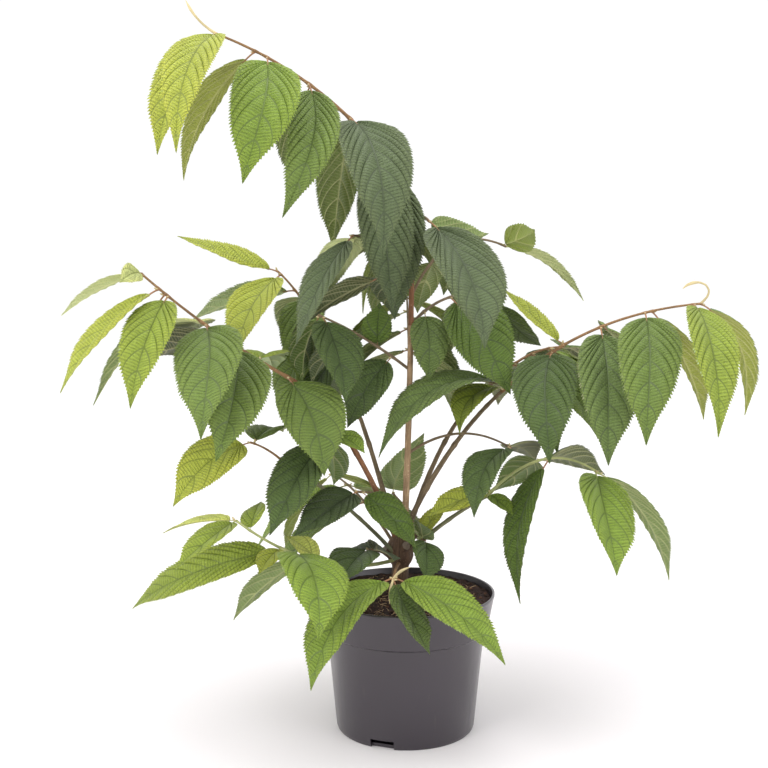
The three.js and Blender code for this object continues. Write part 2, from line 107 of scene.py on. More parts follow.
def asPiece(draft, name, materials, sharpAngle=70):
    mesh = bpy.data.meshes.new(name)
    points = np.concatenate(draft.points) * mm
    mesh.from_pydata(points.tolist(), [], draft.faces)
    mesh.polygons.foreach_set("material_index", draft.marks)
    mesh.polygons.foreach_set("use_smooth", [True] * len(draft.faces))
    corners = np.empty(len(mesh.loops), int)
    mesh.loops.foreach_get("vertex_index", corners)
    layer = mesh.uv_layers.new(name="patternMap")
    layer.data.foreach_set("uv", np.concatenate(draft.maps)[corners].ravel())
    for material in materials:
        mesh.materials.append(material)
    if sharpAngle:
        mesh.set_sharp_from_angle(angle=math.radians(sharpAngle))
    mesh.update()
    piece = bpy.data.objects.new(name, mesh)
    bpy.context.scene.collection.objects.link(piece)
    return piece


# materials
def newMaterial(name):
    material = bpy.data.materials.new(name)
    material.use_nodes = True
    nodes = material.node_tree.nodes
    return material, nodes, material.node_tree.links, nodes["Principled BSDF"]


def addNode(nodes, kind, **settings):
    node = nodes.new("ShaderNode" + kind)
    for key, value in settings.items():
        if key in node.inputs:
            node.inputs[key].default_value = value
        else:
            setattr(node, key, value)
    return node


def noiseNode(nodes, links, vector, scale, detail=3.0, rough=0.55, stretch=None):
    if stretch:
        mapping = addNode(nodes, "Mapping", Scale=stretch)
        links.new(vector, mapping.inputs["Vector"])
        vector = mapping.outputs["Vector"]
    made = addNode(nodes, "TexNoise", Scale=scale, Detail=detail, Roughness=rough)
    links.new(vector, made.inputs["Vector"])
    return made.outputs["Fac"]


def remap(nodes, links, value, low, high, toLow, toHigh):
    made = addNode(nodes, "MapRange")
    for key, number in zip(("From Min", "From Max", "To Min", "To Max"), (low, high, toLow, toHigh)):
        made.inputs[key].default_value = number
    links.new(value, made.inputs["Value"])
    return made.outputs["Result"]


def sums(nodes, links, way, first, second):
    # one step of arithmetic; the second value is a number or another node's output
    made = addNode(nodes, "Math", operation=way)
    links.new(first, made.inputs[0])
    if isinstance(second, (int, float)):
        made.inputs[1].default_value = second
    else:
        links.new(second, made.inputs[1])
    return made.outputs["Value"]


def mixColours(nodes, links, factor, first, second, way="MIX"):
    made = addNode(nodes, "Mix")
    made.data_type, made.blend_type = "RGBA", way
    sockets = [s for s in made.inputs if s.type == "RGBA"]
    if isinstance(factor, float):
        made.inputs[0].default_value = factor
    else:
        links.new(factor, made.inputs[0])
    for socket, colour in zip(sockets, (first, second)):
        if isinstance(colour, tuple):
            socket.default_value = (*colour, 1)
        else:
            links.new(colour, socket)
    return [s for s in made.outputs if s.type == "RGBA"][0]


def bumps(nodes, links, shader, layers):
    # layers are (height, how deep in metres), laid over each other
    normal = None
    for height, depth in layers:
        bump = addNode(nodes, "Bump", Strength=1.0, Distance=depth)
        links.new(height, bump.inputs["Height"])
        if normal:
            links.new(normal, bump.inputs["Normal"])
        normal = bump.outputs["Normal"]
    links.new(normal, shader.inputs["Normal"])


def spreadColour(colour, spread):
    # a darker and a lighter neighbour of a colour
    return tuple(v * (1 - spread) for v in colour), tuple(min(1, v * (1 + spread)) for v in colour)


def leafFinish(name, colour, paintedShadeAndVein, edge, rough, fuzz, relief):
    # a leaf's skin; its pattern runs from the midrib (0) to the margin (1), and along the blade in metres.
    # Its lines take the third colour, which is painted shade on the upper skin and the paler vein colour on
    # the underside
    k = leafSkins
    material, nodes, links, shader = newMaterial(name)
    place = addNode(nodes, "TexCoord").outputs["Object"]
    flat = addNode(nodes, "SeparateXYZ")
    links.new(addNode(nodes, "UVMap", uv_map="patternMap").outputs["UV"], flat.inputs["Vector"])
    share = sums(nodes, links, "ABSOLUTE", flat.outputs["X"], 0.0)
    rungs = addNode(nodes, "CombineXYZ")
    rungAt = sums(nodes, links, "MULTIPLY", flat.outputs["Y"], 1 / (k["rungEvery"] * mm))
    rungLean = sums(nodes, links, "MULTIPLY", share, k["rungLean"])
    links.new(sums(nodes, links, "MULTIPLY", flat.outputs["X"], k["rungReach"]), rungs.inputs["X"])
    links.new(sums(nodes, links, "ADD", rungLean, rungAt), rungs.inputs["Y"])
    wave = addNode(nodes, "TexWave", wave_type="BANDS", bands_direction="Y", wave_profile="SIN")
    for key, number in k["rungWave"].items():
        wave.inputs[key].default_value = number
    links.new(rungs.outputs["Vector"], wave.inputs["Vector"])
    ladder = remap(nodes, links, wave.outputs["Fac"], 0.02, 0.6, 0.0, 1.0)
    cells = addNode(nodes, "TexVoronoi", feature="DISTANCE_TO_EDGE", Scale=k["netScale"])
    links.new(place, cells.inputs["Vector"])
    net = remap(nodes, links, cells.outputs["Distance"], 0.0, 0.22, 0.0, 1.0)
    broad = noiseNode(nodes, links, place, 40, 3)
    fine = noiseNode(nodes, links, place, 500, 4, 0.6)
    darker, lighter = spreadColour(colour, k["mottle"])
    skin = mixColours(nodes, links, remap(nodes, links, broad, 0.34, 0.66, 0, 1), darker, lighter)
    skin = mixColours(nodes, links, remap(nodes, links, share, 0.4, 1.0, 0, k["edge"]), skin, edge)
    # the rungs, the fine net and the strip beside the midrib are mixed towards the line colour: on the upper
    # skin it is painted shade in their grooves, on the underside it is the paler colour of the raised veins
    skin = mixColours(nodes, links, remap(nodes, links, ladder, 0, 1, k["rungShadeAndVein"], 0), skin, paintedShadeAndVein)
    skin = mixColours(nodes, links, remap(nodes, links, net, 0, 1, k["netShadeAndVein"], 0), skin, paintedShadeAndVein)
    skin = mixColours(nodes, links, remap(nodes, links, share, 0.0, 0.09, k["ribShadeAndVein"], 0), skin, paintedShadeAndVein)
    links.new(skin, shader.inputs["Base Color"])
    links.new(remap(nodes, links, fine, 0.3, 0.7, rough - 0.05, rough + 0.08), shader.inputs["Roughness"])
    shader.inputs["Specular IOR Level"].default_value = k["shine"]
    shader.inputs["Sheen Weight"].default_value = fuzz
    shader.inputs["Sheen Roughness"].default_value = k["fuzzRough"]
    bumps(nodes, links, shader, [(ladder, relief), (net, relief * 0.5), (fine, abs(relief) * 0.3)])
    return material


def plainSkin(name, colour, rough, spread, grain=500, depth=0.00008):
    # veins, leaf stalks and buds: one colour that wanders a little along the piece
    material, nodes, links, shader = newMaterial(name)
    place = addNode(nodes, "TexCoord").outputs["Object"]
    broad = noiseNode(nodes, links, place, 60, 3)
    fine = noiseNode(nodes, links, place, grain, 3, 0.6)
    darker, lighter = spreadColour(colour, spread)
    skin = mixColours(nodes, links, remap(nodes, links, broad, 0.35, 0.65, 0, 1), darker, lighter)
    links.new(skin, shader.inputs["Base Color"])
    links.new(remap(nodes, links, fine, 0.3, 0.7, rough - 0.06, rough + 0.08), shader.inputs["Roughness"])
    bumps(nodes, links, shader, [(fine, depth)])
    return material


def barkFinish(name, dark, light, pore, rough=0.78, relief=0.0003):
    # bark: streaks along the stem, small pale pores and fine fissures
    material, nodes, links, shader = newMaterial(name)
    place = addNode(nodes, "TexCoord").outputs["Object"]
    flat = addNode(nodes, "UVMap", uv_map="patternMap").outputs["UV"]
    streak = noiseNode(nodes, links, flat, 260, 4, 0.65, (3.0, 0.22, 1.0))
    broad = noiseNode(nodes, links, place, 70, 3)
    fine = noiseNode(nodes, links, place, 900, 4, 0.6)
    skin = mixColours(nodes, links, remap(nodes, links, streak, 0.3, 0.7, 0, 1), dark, light)
    deep = tuple(v * 0.62 for v in dark)
    skin = mixColours(nodes, links, remap(nodes, links, broad, 0.45, 0.75, 0, 0.7), skin, deep)
    pores = addNode(nodes, "TexVoronoi", feature="F1", Scale=330)
    links.new(place, pores.inputs["Vector"])
    spots = remap(nodes, links, pores.outputs["Distance"], 0.1, 0.2, 1.0, 0.0)
    skin = mixColours(nodes, links, spots, skin, pore)
    links.new(skin, shader.inputs["Base Color"])
    links.new(remap(nodes, links, fine, 0.3, 0.7, rough - 0.1, rough + 0.12), shader.inputs["Roughness"])
    bumps(nodes, links, shader, [(streak, relief), (spots, relief * 0.5), (fine, relief * 0.4)])
    return material


# Leaf tones, from the young tips to the old inner leaves: the upper skin and the underside
leafTones = {
    "young": ((212, 220, 112), (168, 176, 92)),
    "pale": ((195, 203, 125), (196, 207, 145)),
    "lime": ((166, 176, 63), (131, 150, 51)),
    "leafy": ((140, 158, 54), (148, 169, 113)),
    "fresh": ((125, 150, 51), (122, 143, 82)),
    "mid": ((107, 129, 55), (102, 120, 57)),
    "moss": ((83, 107, 32), (71, 100, 27)),
    "olive": ((112, 136, 86), (155, 164, 68)),
    "grey": ((98, 119, 57), (106, 112, 76)),
    "slate": ((88, 103, 66), (73, 87, 46)),
    "deep": ((75, 96, 41), (56, 79, 34)),
    "dark": ((57, 75, 28), (41, 55, 19)),
}
leafSkins = {
    "rough": 0.48, "underRough": 0.66, "shine": 0.36, "fuzz": 0.05, "underFuzz": 0.2, "fuzzRough": 0.5,
    "relief": 0.00055, "underRelief": -0.0003,  # in metres
    # small veins that cross the blade like rungs, between the side veins
    "rungEvery": 2.7, "rungLean": 1.5, "rungReach": 2.6,
    "rungWave": {"Scale": 0.314, "Distortion": 4.2, "Detail": 2, "Detail Scale": 1.1},
    # how strongly the rungs, the fine net and the strip beside the midrib turn to the line colour: painted
    # shade on the upper skin, the paler vein colour beneath
    "netScale": 620, "mottle": 0.1, "edge": 0.5, "rungShadeAndVein": 0.36, "netShadeAndVein": 0.22, "ribShadeAndVein": 0.4,
    # shares of the skin's own colour for the painted shade in the upper skin's grooves and veins and for its
    # lighter, yellower margin, and what the underside's veins turn to
    "paintedShadeAndVein": (0.44, 0.46, 0.4), "margin": (1.3, 1.16, 1.05),
    "paleVein": (206, 200, 150), "veinPaleness": 0.4,
}


def leafMaterials():
    found, k = {}, leafSkins
    for tone, (over, beneath) in leafTones.items():
        word, top, under = f"leaf{tone.capitalize()}", linear(*over), linear(*beneath)
        # painted shade for the upper skin's grooves and veins: a darker share of its own colour
        paintedShadeAndVein = tuple(v * f for v, f in zip(top, k["paintedShadeAndVein"]))
        margin = tuple(min(0.9, v * f) for v, f in zip(top, k["margin"]))
        pale = tuple(u + (v - u) * k["veinPaleness"] for u, v in zip(under, linear(*k["paleVein"])))
        found[tone] = [
            leafFinish(word + "Top", top, paintedShadeAndVein, margin, k["rough"], k["fuzz"], k["relief"]),
            # the upper skin's veins lie in grooves; their colour is that painted shade
            plainSkin(word + "TopVeinPaintedShade", paintedShadeAndVein, 0.5, 0.1),
            leafFinish(word + "Under", under, pale, under, k["underRough"], k["underFuzz"], k["underRelief"]),
            plainSkin(word + "UnderVein", pale, 0.6, 0.1),
        ]
    return found


# the pot
pot = {
    "height": 127.3, "rimRadius": 82.2, "collarRadius": 76.5, "wallRadius": 72.9, "footRadius": 64,
    "collarFoot": 95, "wall": 1.6, "floor": 3, "sides": 144,
    "notches": 3, "firstNotch": -110, "notchWidth": 22, "notchHeight": 8, "notchDepth": 14,
    "colour": (30, 24, 32), "dust": (112, 102, 94), "dustiness": 0.18,
    "rough": 0.34, "shine": 0.6, "shineTint": (1.0, 0.94, 1.0), "film": 0.55, "filmRough": 0.25,
    "round": 0.7,  # radius of its edges
}


def potFinish():
    material, nodes, links, shader = newMaterial("potPlastic")
    place = addNode(nodes, "TexCoord").outputs["Object"]
    cloud = noiseNode(nodes, links, place, 14, 3)
    grain = noiseNode(nodes, links, place, 1500, 3, 0.6)
    scuff = noiseNode(nodes, links, place, 90, 5, 0.7, (1.0, 1.0, 0.15))
    base = linear(*pot["colour"])
    skin = mixColours(nodes, links, remap(nodes, links, cloud, 0.3, 0.7, 0, 1),
                      tuple(v * 0.93 for v in base), tuple(v * 1.08 for v in base))
    dusty = remap(nodes, links, scuff, 0.62, 0.8, 0.0, pot["dustiness"])
    skin = mixColours(nodes, links, dusty, skin, linear(*pot["dust"]))
    links.new(skin, shader.inputs["Base Color"])
    shader.inputs["Specular IOR Level"].default_value = pot["shine"]
    shader.inputs["Specular Tint"].default_value = (*pot["shineTint"], 1)
    shader.inputs["Coat Weight"].default_value = pot["film"]
    shader.inputs["Coat Roughness"].default_value = pot["filmRough"]
    rough = pot["rough"]
    links.new(remap(nodes, links, scuff, 0.3, 0.75, rough - 0.04, rough + 0.12), shader.inputs["Roughness"])
    bumps(nodes, links, shader, [(grain, 0.00006), (cloud, 0.0004)])
    return material


def roundedProfile(corners, radius, steps=4):
    # each corner of the outline becomes a small arc
    path = []
    for k, corner in enumerate(corners):
        here = np.array(corner, float)
        if k in (0, len(corners) - 1):
            path.append(here)
            continue
        toLast, toNext = (np.array(corners[n]) - here for n in (k - 1, k + 1))
        before, after = unit(toLast), unit(toNext)
        cut = min(radius, min(np.linalg.norm(toLast), np.linalg.norm(toNext)) * 0.45)
        for i in range(steps + 1):
            t = i / steps
            path.append(here + before * cut * (1 - t) ** 2 + after * cut * t**2)
    return path


def latheDraft(profile, sides):
    # profile rows are (radius, height) and start and end on the axis
    draft, angles = Draft(), np.arange(sides) * 2 * math.pi / sides
    rings = profile[1:-1]
    points = [[r * math.cos(a), r * math.sin(a), z] for r, z in rings for a in angles]
    points += [[0, 0, profile[0][1]], [0, 0, profile[-1][1]]]
    faces, first, last = ringFaces(len(rings), sides), len(points) - 2, len(points) - 1
    top = (len(rings) - 1) * sides
    for i in range(sides):
        j = (i + 1) % sides
        faces += [(first, j, i), (last, top + i, top + j)]
    draft.add(points, faces)
    return draft


def makePot():
    p = pot
    height, wall, rim, foot = (p[key] for key in ("height", "wall", "rimRadius", "footRadius"))
    collar, collarFoot, below = p["collarRadius"], p["collarFoot"], p["wallRadius"]
    corners = [
        (0, 0), (foot - 0.8, 0), (foot + 0.2, 3), (below - 0.1, collarFoot - 2.2),
        (collar - 0.4, collarFoot - 0.2), (collar, collarFoot + 2), (rim - 0.5, height - 3.2),
        (rim, height - 2.4), (rim, height), (rim - 2.0, height), (collar - wall, collarFoot + 2),
        (below - wall, collarFoot - 1), (foot - wall - 1, p["floor"]), (0, p["floor"]),
    ]
    draft = latheDraft(roundedProfile(corners, p["round"]), p["sides"])
    piece = asPiece(draft, "nurseryPot", [potFinish()], 35)
    for k in range(p["notches"]):  # drainage slots through the foot of the wall
        bpy.ops.mesh.primitive_cube_add(size=1)
        cutter = bpy.context.object
        turn = math.radians(p["firstNotch"] + k * 360 / p["notches"])
        reach = (p["footRadius"] + 2) * mm
        cutter.scale = (p["notchDepth"] * mm, p["notchWidth"] * mm, (p["notchHeight"] + 2) * mm)
        cutter.location = (reach * math.cos(turn), reach * math.sin(turn), (p["notchHeight"] / 2 - 1) * mm)
        cutter.rotation_euler = (0, 0, turn)
        cut = piece.modifiers.new("slot", "BOOLEAN")
        cut.object, cut.operation, cut.solver = cutter, "DIFFERENCE", "EXACT"
        bpy.context.view_layer.objects.active = piece
        bpy.ops.object.modifier_apply(modifier="slot")
        bpy.data.objects.remove(cutter)
    piece.data.set_sharp_from_angle(angle=math.radians(35))
    return piece


# the soil
soil = {
    "top": 120, "bank": 3, "edge": 78.4,  # the bank is how much higher it lies at the wall
    "rings": 46, "sides": 128, "lump": 2.2, "skirt": 9, "crumbs": 1000, "fibres": 200,
    "dark": (34, 21, 17), "brown": (70, 42, 34), "fibre": (204, 172, 134),
}


def soilHeight(x, y):
    # the bed's own surface, lumpy and a little higher at the wall
    reach = math.hypot(x, y) / soil["edge"]
    lump = noise.noise(Vector((x / 9, y / 9, 3.1))) + 0.5 * noise.noise(Vector((x / 3.5, y / 3.5, 7.7)))
    return soil["top"] + soil["bank"] * reach**2 + soil["lump"] * lump * 0.8 - 0.7


def soilFinish():
    material, nodes, links, shader = newMaterial("dampPeat")
    place = addNode(nodes, "TexCoord").outputs["Object"]
    clod = noiseNode(nodes, links, place, 130, 6, 0.7)
    grain = noiseNode(nodes, links, place, 900, 5, 0.7)
    skin = mixColours(nodes, links, remap(nodes, links, clod, 0.35, 0.65, 0, 1),
                      linear(*soil["dark"]), linear(*soil["brown"]))
    links.new(skin, shader.inputs["Base Color"])
    shader.inputs["Roughness"].default_value = 0.93
    bumps(nodes, links, shader, [(clod, 0.0022), (grain, 0.0006)])
    return material


def makeSoil():
    draft, rings, sides = Draft(), soil["rings"], soil["sides"]
    points, faces = [[0, 0, soilHeight(0, 0)]], []
    for k in range(1, rings + 1):
        for i in range(sides):
            angle = 2 * math.pi * (i + 0.5 * (k % 2)) / sides
            reach = soil["edge"] * k / rings
            x, y = reach * math.cos(angle), reach * math.sin(angle)
            points.append([x, y, soilHeight(x, y)])
    for i in range(sides):
        faces.append((0, 1 + i, 1 + (i + 1) % sides))
    faces += ringFaces(rings, sides, 1, True)
    # the skirt goes down inside the pot, so the bed has body
    start, under = 1 + (rings - 1) * sides, len(points)
    foot = soil["top"] - soil["skirt"]
    points += [[x * 0.96, y * 0.96, foot] for x, y, _ in points[start:]]
    points.append([0, 0, foot])
    for i in range(sides):
        j = (i + 1) % sides
        faces += [(start + i, under + i, under + j, start + j), (len(points) - 1, under + j, under + i)]
    draft.add(points, faces)
    return asPiece(draft, "soilBed", [soilFinish()], 0)


def crumbShape(size, squash, turn, roundness):
    # a lumpy little stone of soil: an eight-sided shape, each face cut in four
    corners = [arr(1, 0, 0), arr(-1, 0, 0), arr(0, 1, 0), arr(0, -1, 0), arr(0, 0, 1), arr(0, 0, -1)]
    faces = [(0, 2, 4), (2, 1, 4), (1, 3, 4), (3, 0, 4), (2, 0, 5), (1, 2, 5), (3, 1, 5), (0, 3, 5)]
    c, s = math.cos(turn), math.sin(turn)
    spin = np.array([[c, -s, 0], [s, c, 0], [0, 0, 1]])
    points, cut, known = list(corners), [], {}

    def middle(a, b):
        key = (min(a, b), max(a, b))
        if key not in known:
            known[key] = len(points)
            points.append(unit(points[a] + points[b]))
        return known[key]

    for a, b, d in faces:
        ab, bd, da = middle(a, b), middle(b, d), middle(d, a)
        cut += [(a, ab, da), (ab, b, bd), (da, bd, d), (ab, bd, da)]
    shaped = [p * (1 + roundness * noise.noise(Vector(p * 1.7 + turn))) for p in points]
    return np.array(shaped) @ spin.T * arr(size, size * 0.8, size * squash), cut


def makeCrumbs():
    draft, draw = Draft(), seeded(5)
    for _ in range(soil["crumbs"]):
        reach, angle = soil["edge"] * math.sqrt(next(draw)) * 0.975, 2 * math.pi * next(draw)
        x, y = reach * math.cos(angle), reach * math.sin(angle)
        size = 0.5 + 1.5 * next(draw) ** 2
        shape, faces = crumbShape(size, 0.6, 6.3 * next(draw), 0.5)
        draft.add(shape + arr(x, y, soilHeight(x, y) + size * 0.15), faces, 0 if next(draw) < 0.75 else 1)
    brown = plainSkin("peatCrumb", linear(58, 38, 28), 0.9, 0.35, 800, 0.0003)
    bark = plainSkin("barkChip", linear(96, 66, 46), 0.85, 0.3, 700, 0.0003)
    return asPiece(draft, "soilCrumbs", [brown, bark], 40)


aslant = arr(0.13, 0.97, 0.21)  # no stem runs along it; the sides of round sections are counted from it


def tube(draft, line, radii, sides, mark=0, shape=None, caps=True):
    # a tube along a line of points; shape(k, angle) may scale each point
    line, radii = np.asarray(line, float), np.asarray(radii, float)
    along, across = unit(np.gradient(line, axis=0)), aslant
    points, flat, length = [], [], 0.0
    for k in range(len(line)):
        side = unit(np.cross(along[k], across))
        across = np.cross(side, along[k])
        length += np.linalg.norm(line[k] - line[k - 1]) if k else 0
        for i in range(sides):
            angle = 2 * math.pi * i / sides
            size = radii[k] * (shape(k, angle) if shape else 1)
            points.append(line[k] + (side * math.cos(angle) + across * math.sin(angle)) * size)
            flat.append((radii[k] * math.sin(angle / 2) * 4 * mm, length * mm))
    faces = ringFaces(len(line), sides)
    if caps:
        top = (len(line) - 1) * sides
        faces.append(tuple(reversed(range(sides))))
        faces.append(tuple(top + i for i in range(sides)))
    draft.add(points, faces, mark, flat)


def makeFibres():
    # pale peat fibres and root threads that lie on the bed
    draft, draw = Draft(), seeded(17)
    for _ in range(soil["fibres"]):
        reach, angle = soil["edge"] * math.sqrt(next(draw)) * 0.9, 2 * math.pi * next(draw)
        x, y, heading = reach * math.cos(angle), reach * math.sin(angle), 360 * next(draw)
        length, bend, thick = 4 + 11 * next(draw), 60 * (next(draw) - 0.5), 0.14 + 0.22 * next(draw)
        line, place = [], arr(x, y, 0)
        for i in range(6):
            step = pointing(heading + bend * i / 2.5, 0) * length / 6
            place = place + step
            if math.hypot(place[0], place[1]) > soil["edge"] - 1:
                break
            rise = soilHeight(place[0], place[1]) + 0.35 + 0.8 * math.sin(i * 0.6) * next(draw)
            line.append([place[0], place[1], rise])
        if len(line) > 3:
            tube(draft, line, np.linspace(thick, thick * 0.5, len(line)), 4)
    return asPiece(draft, "peatFibres", [plainSkin("peatFibre", linear(*soil["fibre"]), 0.8, 0.25)], 60)


# crown, leader and boughs
gap = 0.3
crown = {
    "centre": (-5, 0),
    "foot": soil["top"] + gap,
    # height above the foot, radius
    "profile": [(-5, 13.5), (0, 11.5), (4, 9.4), (11, 8), (20, 7.6), (31, 8.6), (40, 12.4), (49, 12.8),
                (57, 9.5), (63, 4.8)],
    "steps": 68, "sides": 40,
    "keepOff": (62, 14),  # height and radius of what leaves stay clear of
    # cut stubs of old shoots: heading, height above the foot, rise, length, radius
    "stubs": [(205, 36, 35, 20, 4.2), (-70, 44, 30, 18, 3.8), (20, 47, 40, 19, 4.0), (100, 40, 30, 20, 4.4)],
}
leader = {
    "from": (-2, 0, 165), "to": (5, 0, 490), "bow": (2, 0, 0), "radius": (3.2, 2.1),
    "redFrom": 372, "cutFrom": 478,  # the upper stretch is redder, and the tip is an old grey cut
    "steps": 150, "nodesEvery": 62.0, "ridge": 0.03,
}
limbMesh = {"step": 2.2, "sides": 18, "nodesEvery": 47.0, "sunk": 4.0}  # how deep its foot is in the crown
boughs = {
    "left_bough": {
        "from": (-7, -1, 171), "to": (-100, -35, 327), "bow": (3, -2, 20),
        "radius": (2.7, 1.7), "bark": "red",
    },
    "right_bough": {
        "from": (-3, 4, 178), "to": (88, 18, 310), "bow": (-2, 6, 10),
        "radius": (2.7, 1.7), "bark": "brown",
    },
    "low_right_bough": {
        "from": (2, 2, 162), "to": (74, -5, 217), "bow": (0, 0, 4),
        "radius": (2.2, 1.5), "bark": "sage",
    },
    "thin_left_bough": {
        "from": (-10, -7, 164), "to": (-109, -45, 257), "bow": (2, -2, 5),
        "radius": (1.9, 1.3), "bark": "sage",
    },
    "back_left_bough": {
        "from": (-8, 5, 170), "to": (-62, 70, 326), "bow": (0, -4, 14),
        "radius": (2.5, 1.6), "bark": "brown",
    },
    "back_right_bough": {
        "from": (1, 10.5, 175), "to": (84, 70, 312), "bow": (-4, 0, 18),
        "radius": (2.5, 1.6), "bark": "brown",
    },
}
barks = {
    "red": {"dark": (100, 66, 44), "light": (150, 102, 68), "pore": (168, 134, 102)},
    "brown": {"dark": (94, 80, 60), "light": (140, 120, 92), "pore": (160, 140, 112)},
    "sage": {"dark": (94, 94, 68), "light": (138, 138, 104), "pore": (152, 140, 110)},
    "tan": {"dark": (134, 106, 78), "light": (184, 156, 122), "pore": (198, 174, 142)},
    "old": {"dark": (68, 51, 40), "light": (124, 96, 74), "pore": (142, 116, 92)},
    "cut": {"dark": (120, 104, 92), "light": (156, 138, 122), "pore": (96, 80, 66)},
    "twig": {"dark": (114, 84, 54), "light": (156, 120, 80), "pore": (180, 150, 112)},
    "green": {"dark": (150, 158, 96), "light": (186, 190, 134), "pore": (170, 150, 104)},
}


def placeOn(limb, u):
    start, end, bow = (np.array(limb[key], float) for key in ("from", "to", "bow"))
    return start + (end - start) * u + bow * 4 * u * (1 - u)


def limbLine(limb, steps):
    return placeOn(limb, np.linspace(0, 1, steps + 1)[:, None])


def barkRelief(line, seed, nodesEvery, ridge=0.05):
    # swollen rings where leaf pairs grew, low ridges and small lumps
    steps = np.linalg.norm(np.diff(line, axis=0), axis=1)
    reach = np.concatenate([[0], np.cumsum(steps)])

    def shape(k, angle):
        phase = (reach[k] / nodesEvery + 0.35) % 1.0
        ring = math.exp(-(((phase - 0.5) * nodesEvery / 2.6) ** 2))
        beside = abs(math.cos(angle + (int(reach[k] / nodesEvery + 0.35) % 2) * math.pi / 2))
        ridges = ridge * math.sin(5 * angle + 0.04 * reach[k] + seed)
        lumps = noise.noise(Vector((math.cos(angle) * 1.4, math.sin(angle) * 1.4, reach[k] / 5 + seed * 9)))
        return 1 + 0.26 * ring * (0.4 + 0.6 * beside) + ridges + 0.09 * lumps

    return shape


def limbPiece(name, limb, seed):
    length = np.linalg.norm(np.subtract(limb["to"], limb["from"]))
    steps = int(length / limbMesh["step"])
    line = limbLine(limb, steps)
    line[0] -= unit(line[1] - line[0]) * limbMesh["sunk"]
    radii = np.linspace(limb["radius"][0], limb["radius"][1], steps + 1)
    draft = Draft()
    tube(draft, line, radii, limbMesh["sides"], 0, barkRelief(line, seed, limbMesh["nodesEvery"]))
    return asPiece(draft, name, [barkStock[limb["bark"]]], 60)


def makeCrown():
    # the knotty base: old wood with cut stubs, and the leader's foot in it
    draft, (cx, cy), rows = Draft(), crown["centre"], crown["profile"]
    heights = np.array([row[0] for row in rows], float)
    sizes = np.array([row[1] for row in rows], float)
    steps, sides = crown["steps"], crown["sides"]
    levels = np.linspace(heights[0], heights[-1], steps)
    points, flat = [], []
    for level in levels:
        wide = np.interp(level, heights, sizes) * 0.96
        for i in range(sides):
            angle = 2 * math.pi * i / sides
            around = Vector((math.cos(angle), math.sin(angle), level / 14))
            strands = abs(noise.noise(Vector((around.x * 3.2, around.y * 3.2, level / 40))))
            lump = 0.16 * noise.noise(around * 1.6) - 0.16 * strands + 0.05 * noise.noise(around * 7)
            reach = wide * (1 + lump)
            points.append([cx + reach * math.cos(angle), cy + reach * math.sin(angle), crown["foot"] + level])
            flat.append((angle * 0.012, level * mm))
    faces = ringFaces(steps, sides)
    top = (steps - 1) * sides
    faces += [tuple(reversed(range(sides))), tuple(top + i for i in range(sides))]
    draft.add(points, faces, 0, flat)
    for number, (heading, rise, hang, length, radius) in enumerate(crown["stubs"]):
        start = arr(cx, cy, crown["foot"] + rise)
        line = [start + pointing(heading, hang) * length * share for share in np.linspace(0.2, 1, 14)]
        radii = np.linspace(radius * 1.15, radius * 0.97, 14)
        tube(draft, line, radii, 20, 0, barkRelief(np.array(line), number + 3, 30, 0.04), caps=False)
        stubFace(draft, line[-1], pointing(heading, hang), radius * 0.97)
    return asPiece(draft, "crownWood", [barkStock["old"], barkStock["cut"]], 50)


def stubFace(draft, centre, along, radius):
    # the sawn end: a slightly hollow disc with growth rings
    side = unit(np.cross(along, aslant))
    third = np.cross(side, along)
    points, faces, sides, rings = [centre - along * 0.5], [], 20, 6
    for k in range(1, rings + 1):
        sink = -0.5 * (1 - k / rings) + (0.12 if k % 2 else 0)
        for i in range(sides):
            angle = 2 * math.pi * i / sides
            reach = radius * k / rings * (1.02 if k == rings else 1)
            points.append(centre + along * sink + (side * math.cos(angle) + third * math.sin(angle)) * reach)
    for i in range(sides):
        faces.append((0, 1 + i, 1 + (i + 1) % sides))
    faces += ringFaces(rings, sides, 1, True)
    draft.add(points, faces, 1)


def makeLeader():
    steps, sides = leader["steps"], limbMesh["sides"]
    line, radii = limbLine(leader, steps), np.linspace(*leader["radius"], steps + 1)
    draft, marks = Draft(), []
    tube(draft, line, radii, sides, 0, barkRelief(line, 2, leader["nodesEvery"], leader["ridge"]))
    for height in line[:steps, 2]:
        marks += [2 if height > leader["cutFrom"] else 1 if height > leader["redFrom"] else 0] * sides
    draft.marks[: len(marks)] = marks
    return asPiece(draft, "leaderStem", [barkStock["tan"], barkStock["red"], barkStock["cut"]], 60)


# the rule that places the leaves
leafShape = {"petiole": 0.08, "fold": 0.22, "curl": 22}
# the coarse blade that leaves are felt out with: share along it, share of the half width
feltOutline = [(0, 0.26), (0.12, 0.78), (0.38, 1), (0.72, 0.62), (1, 0)]
# how far its lines reach through it, past its margins and past its tip, and how clear of the pot it stays
feeler = {"through": 3.4, "beside": 1.5, "ahead": 2.5, "fromWall": 3, "fromRim": 4}


def leafFrame(start, heading, hang, length, width, curl, roll, sweep=0):
    chord, up = pointing(heading, hang), pointing(heading, hang + 90)
    side = np.cross(chord, up)
    c, s = math.cos(math.radians(roll)), math.sin(math.radians(roll))
    return {"start": start, "chord": chord, "length": length, "width": width, "curl": curl, "sweep": sweep,
            "up": up * c + side * s, "side": side * c - up * s}


def leafMiddle(leaf, u):
    # points on the leaf's middle line and the upward direction there
    u = np.asarray(u, float)[..., None]
    bend = math.tan(math.radians(leaf["curl"]))
    aside = leaf["up"] * leaf["length"] * bend + leaf["side"] * 4 * leaf["sweep"]
    middle = leaf["start"] + leaf["chord"] * leaf["length"] * u + aside * u * (1 - u)
    return middle, unit(leaf["up"] - leaf["chord"] * bend * (1 - 2 * u))


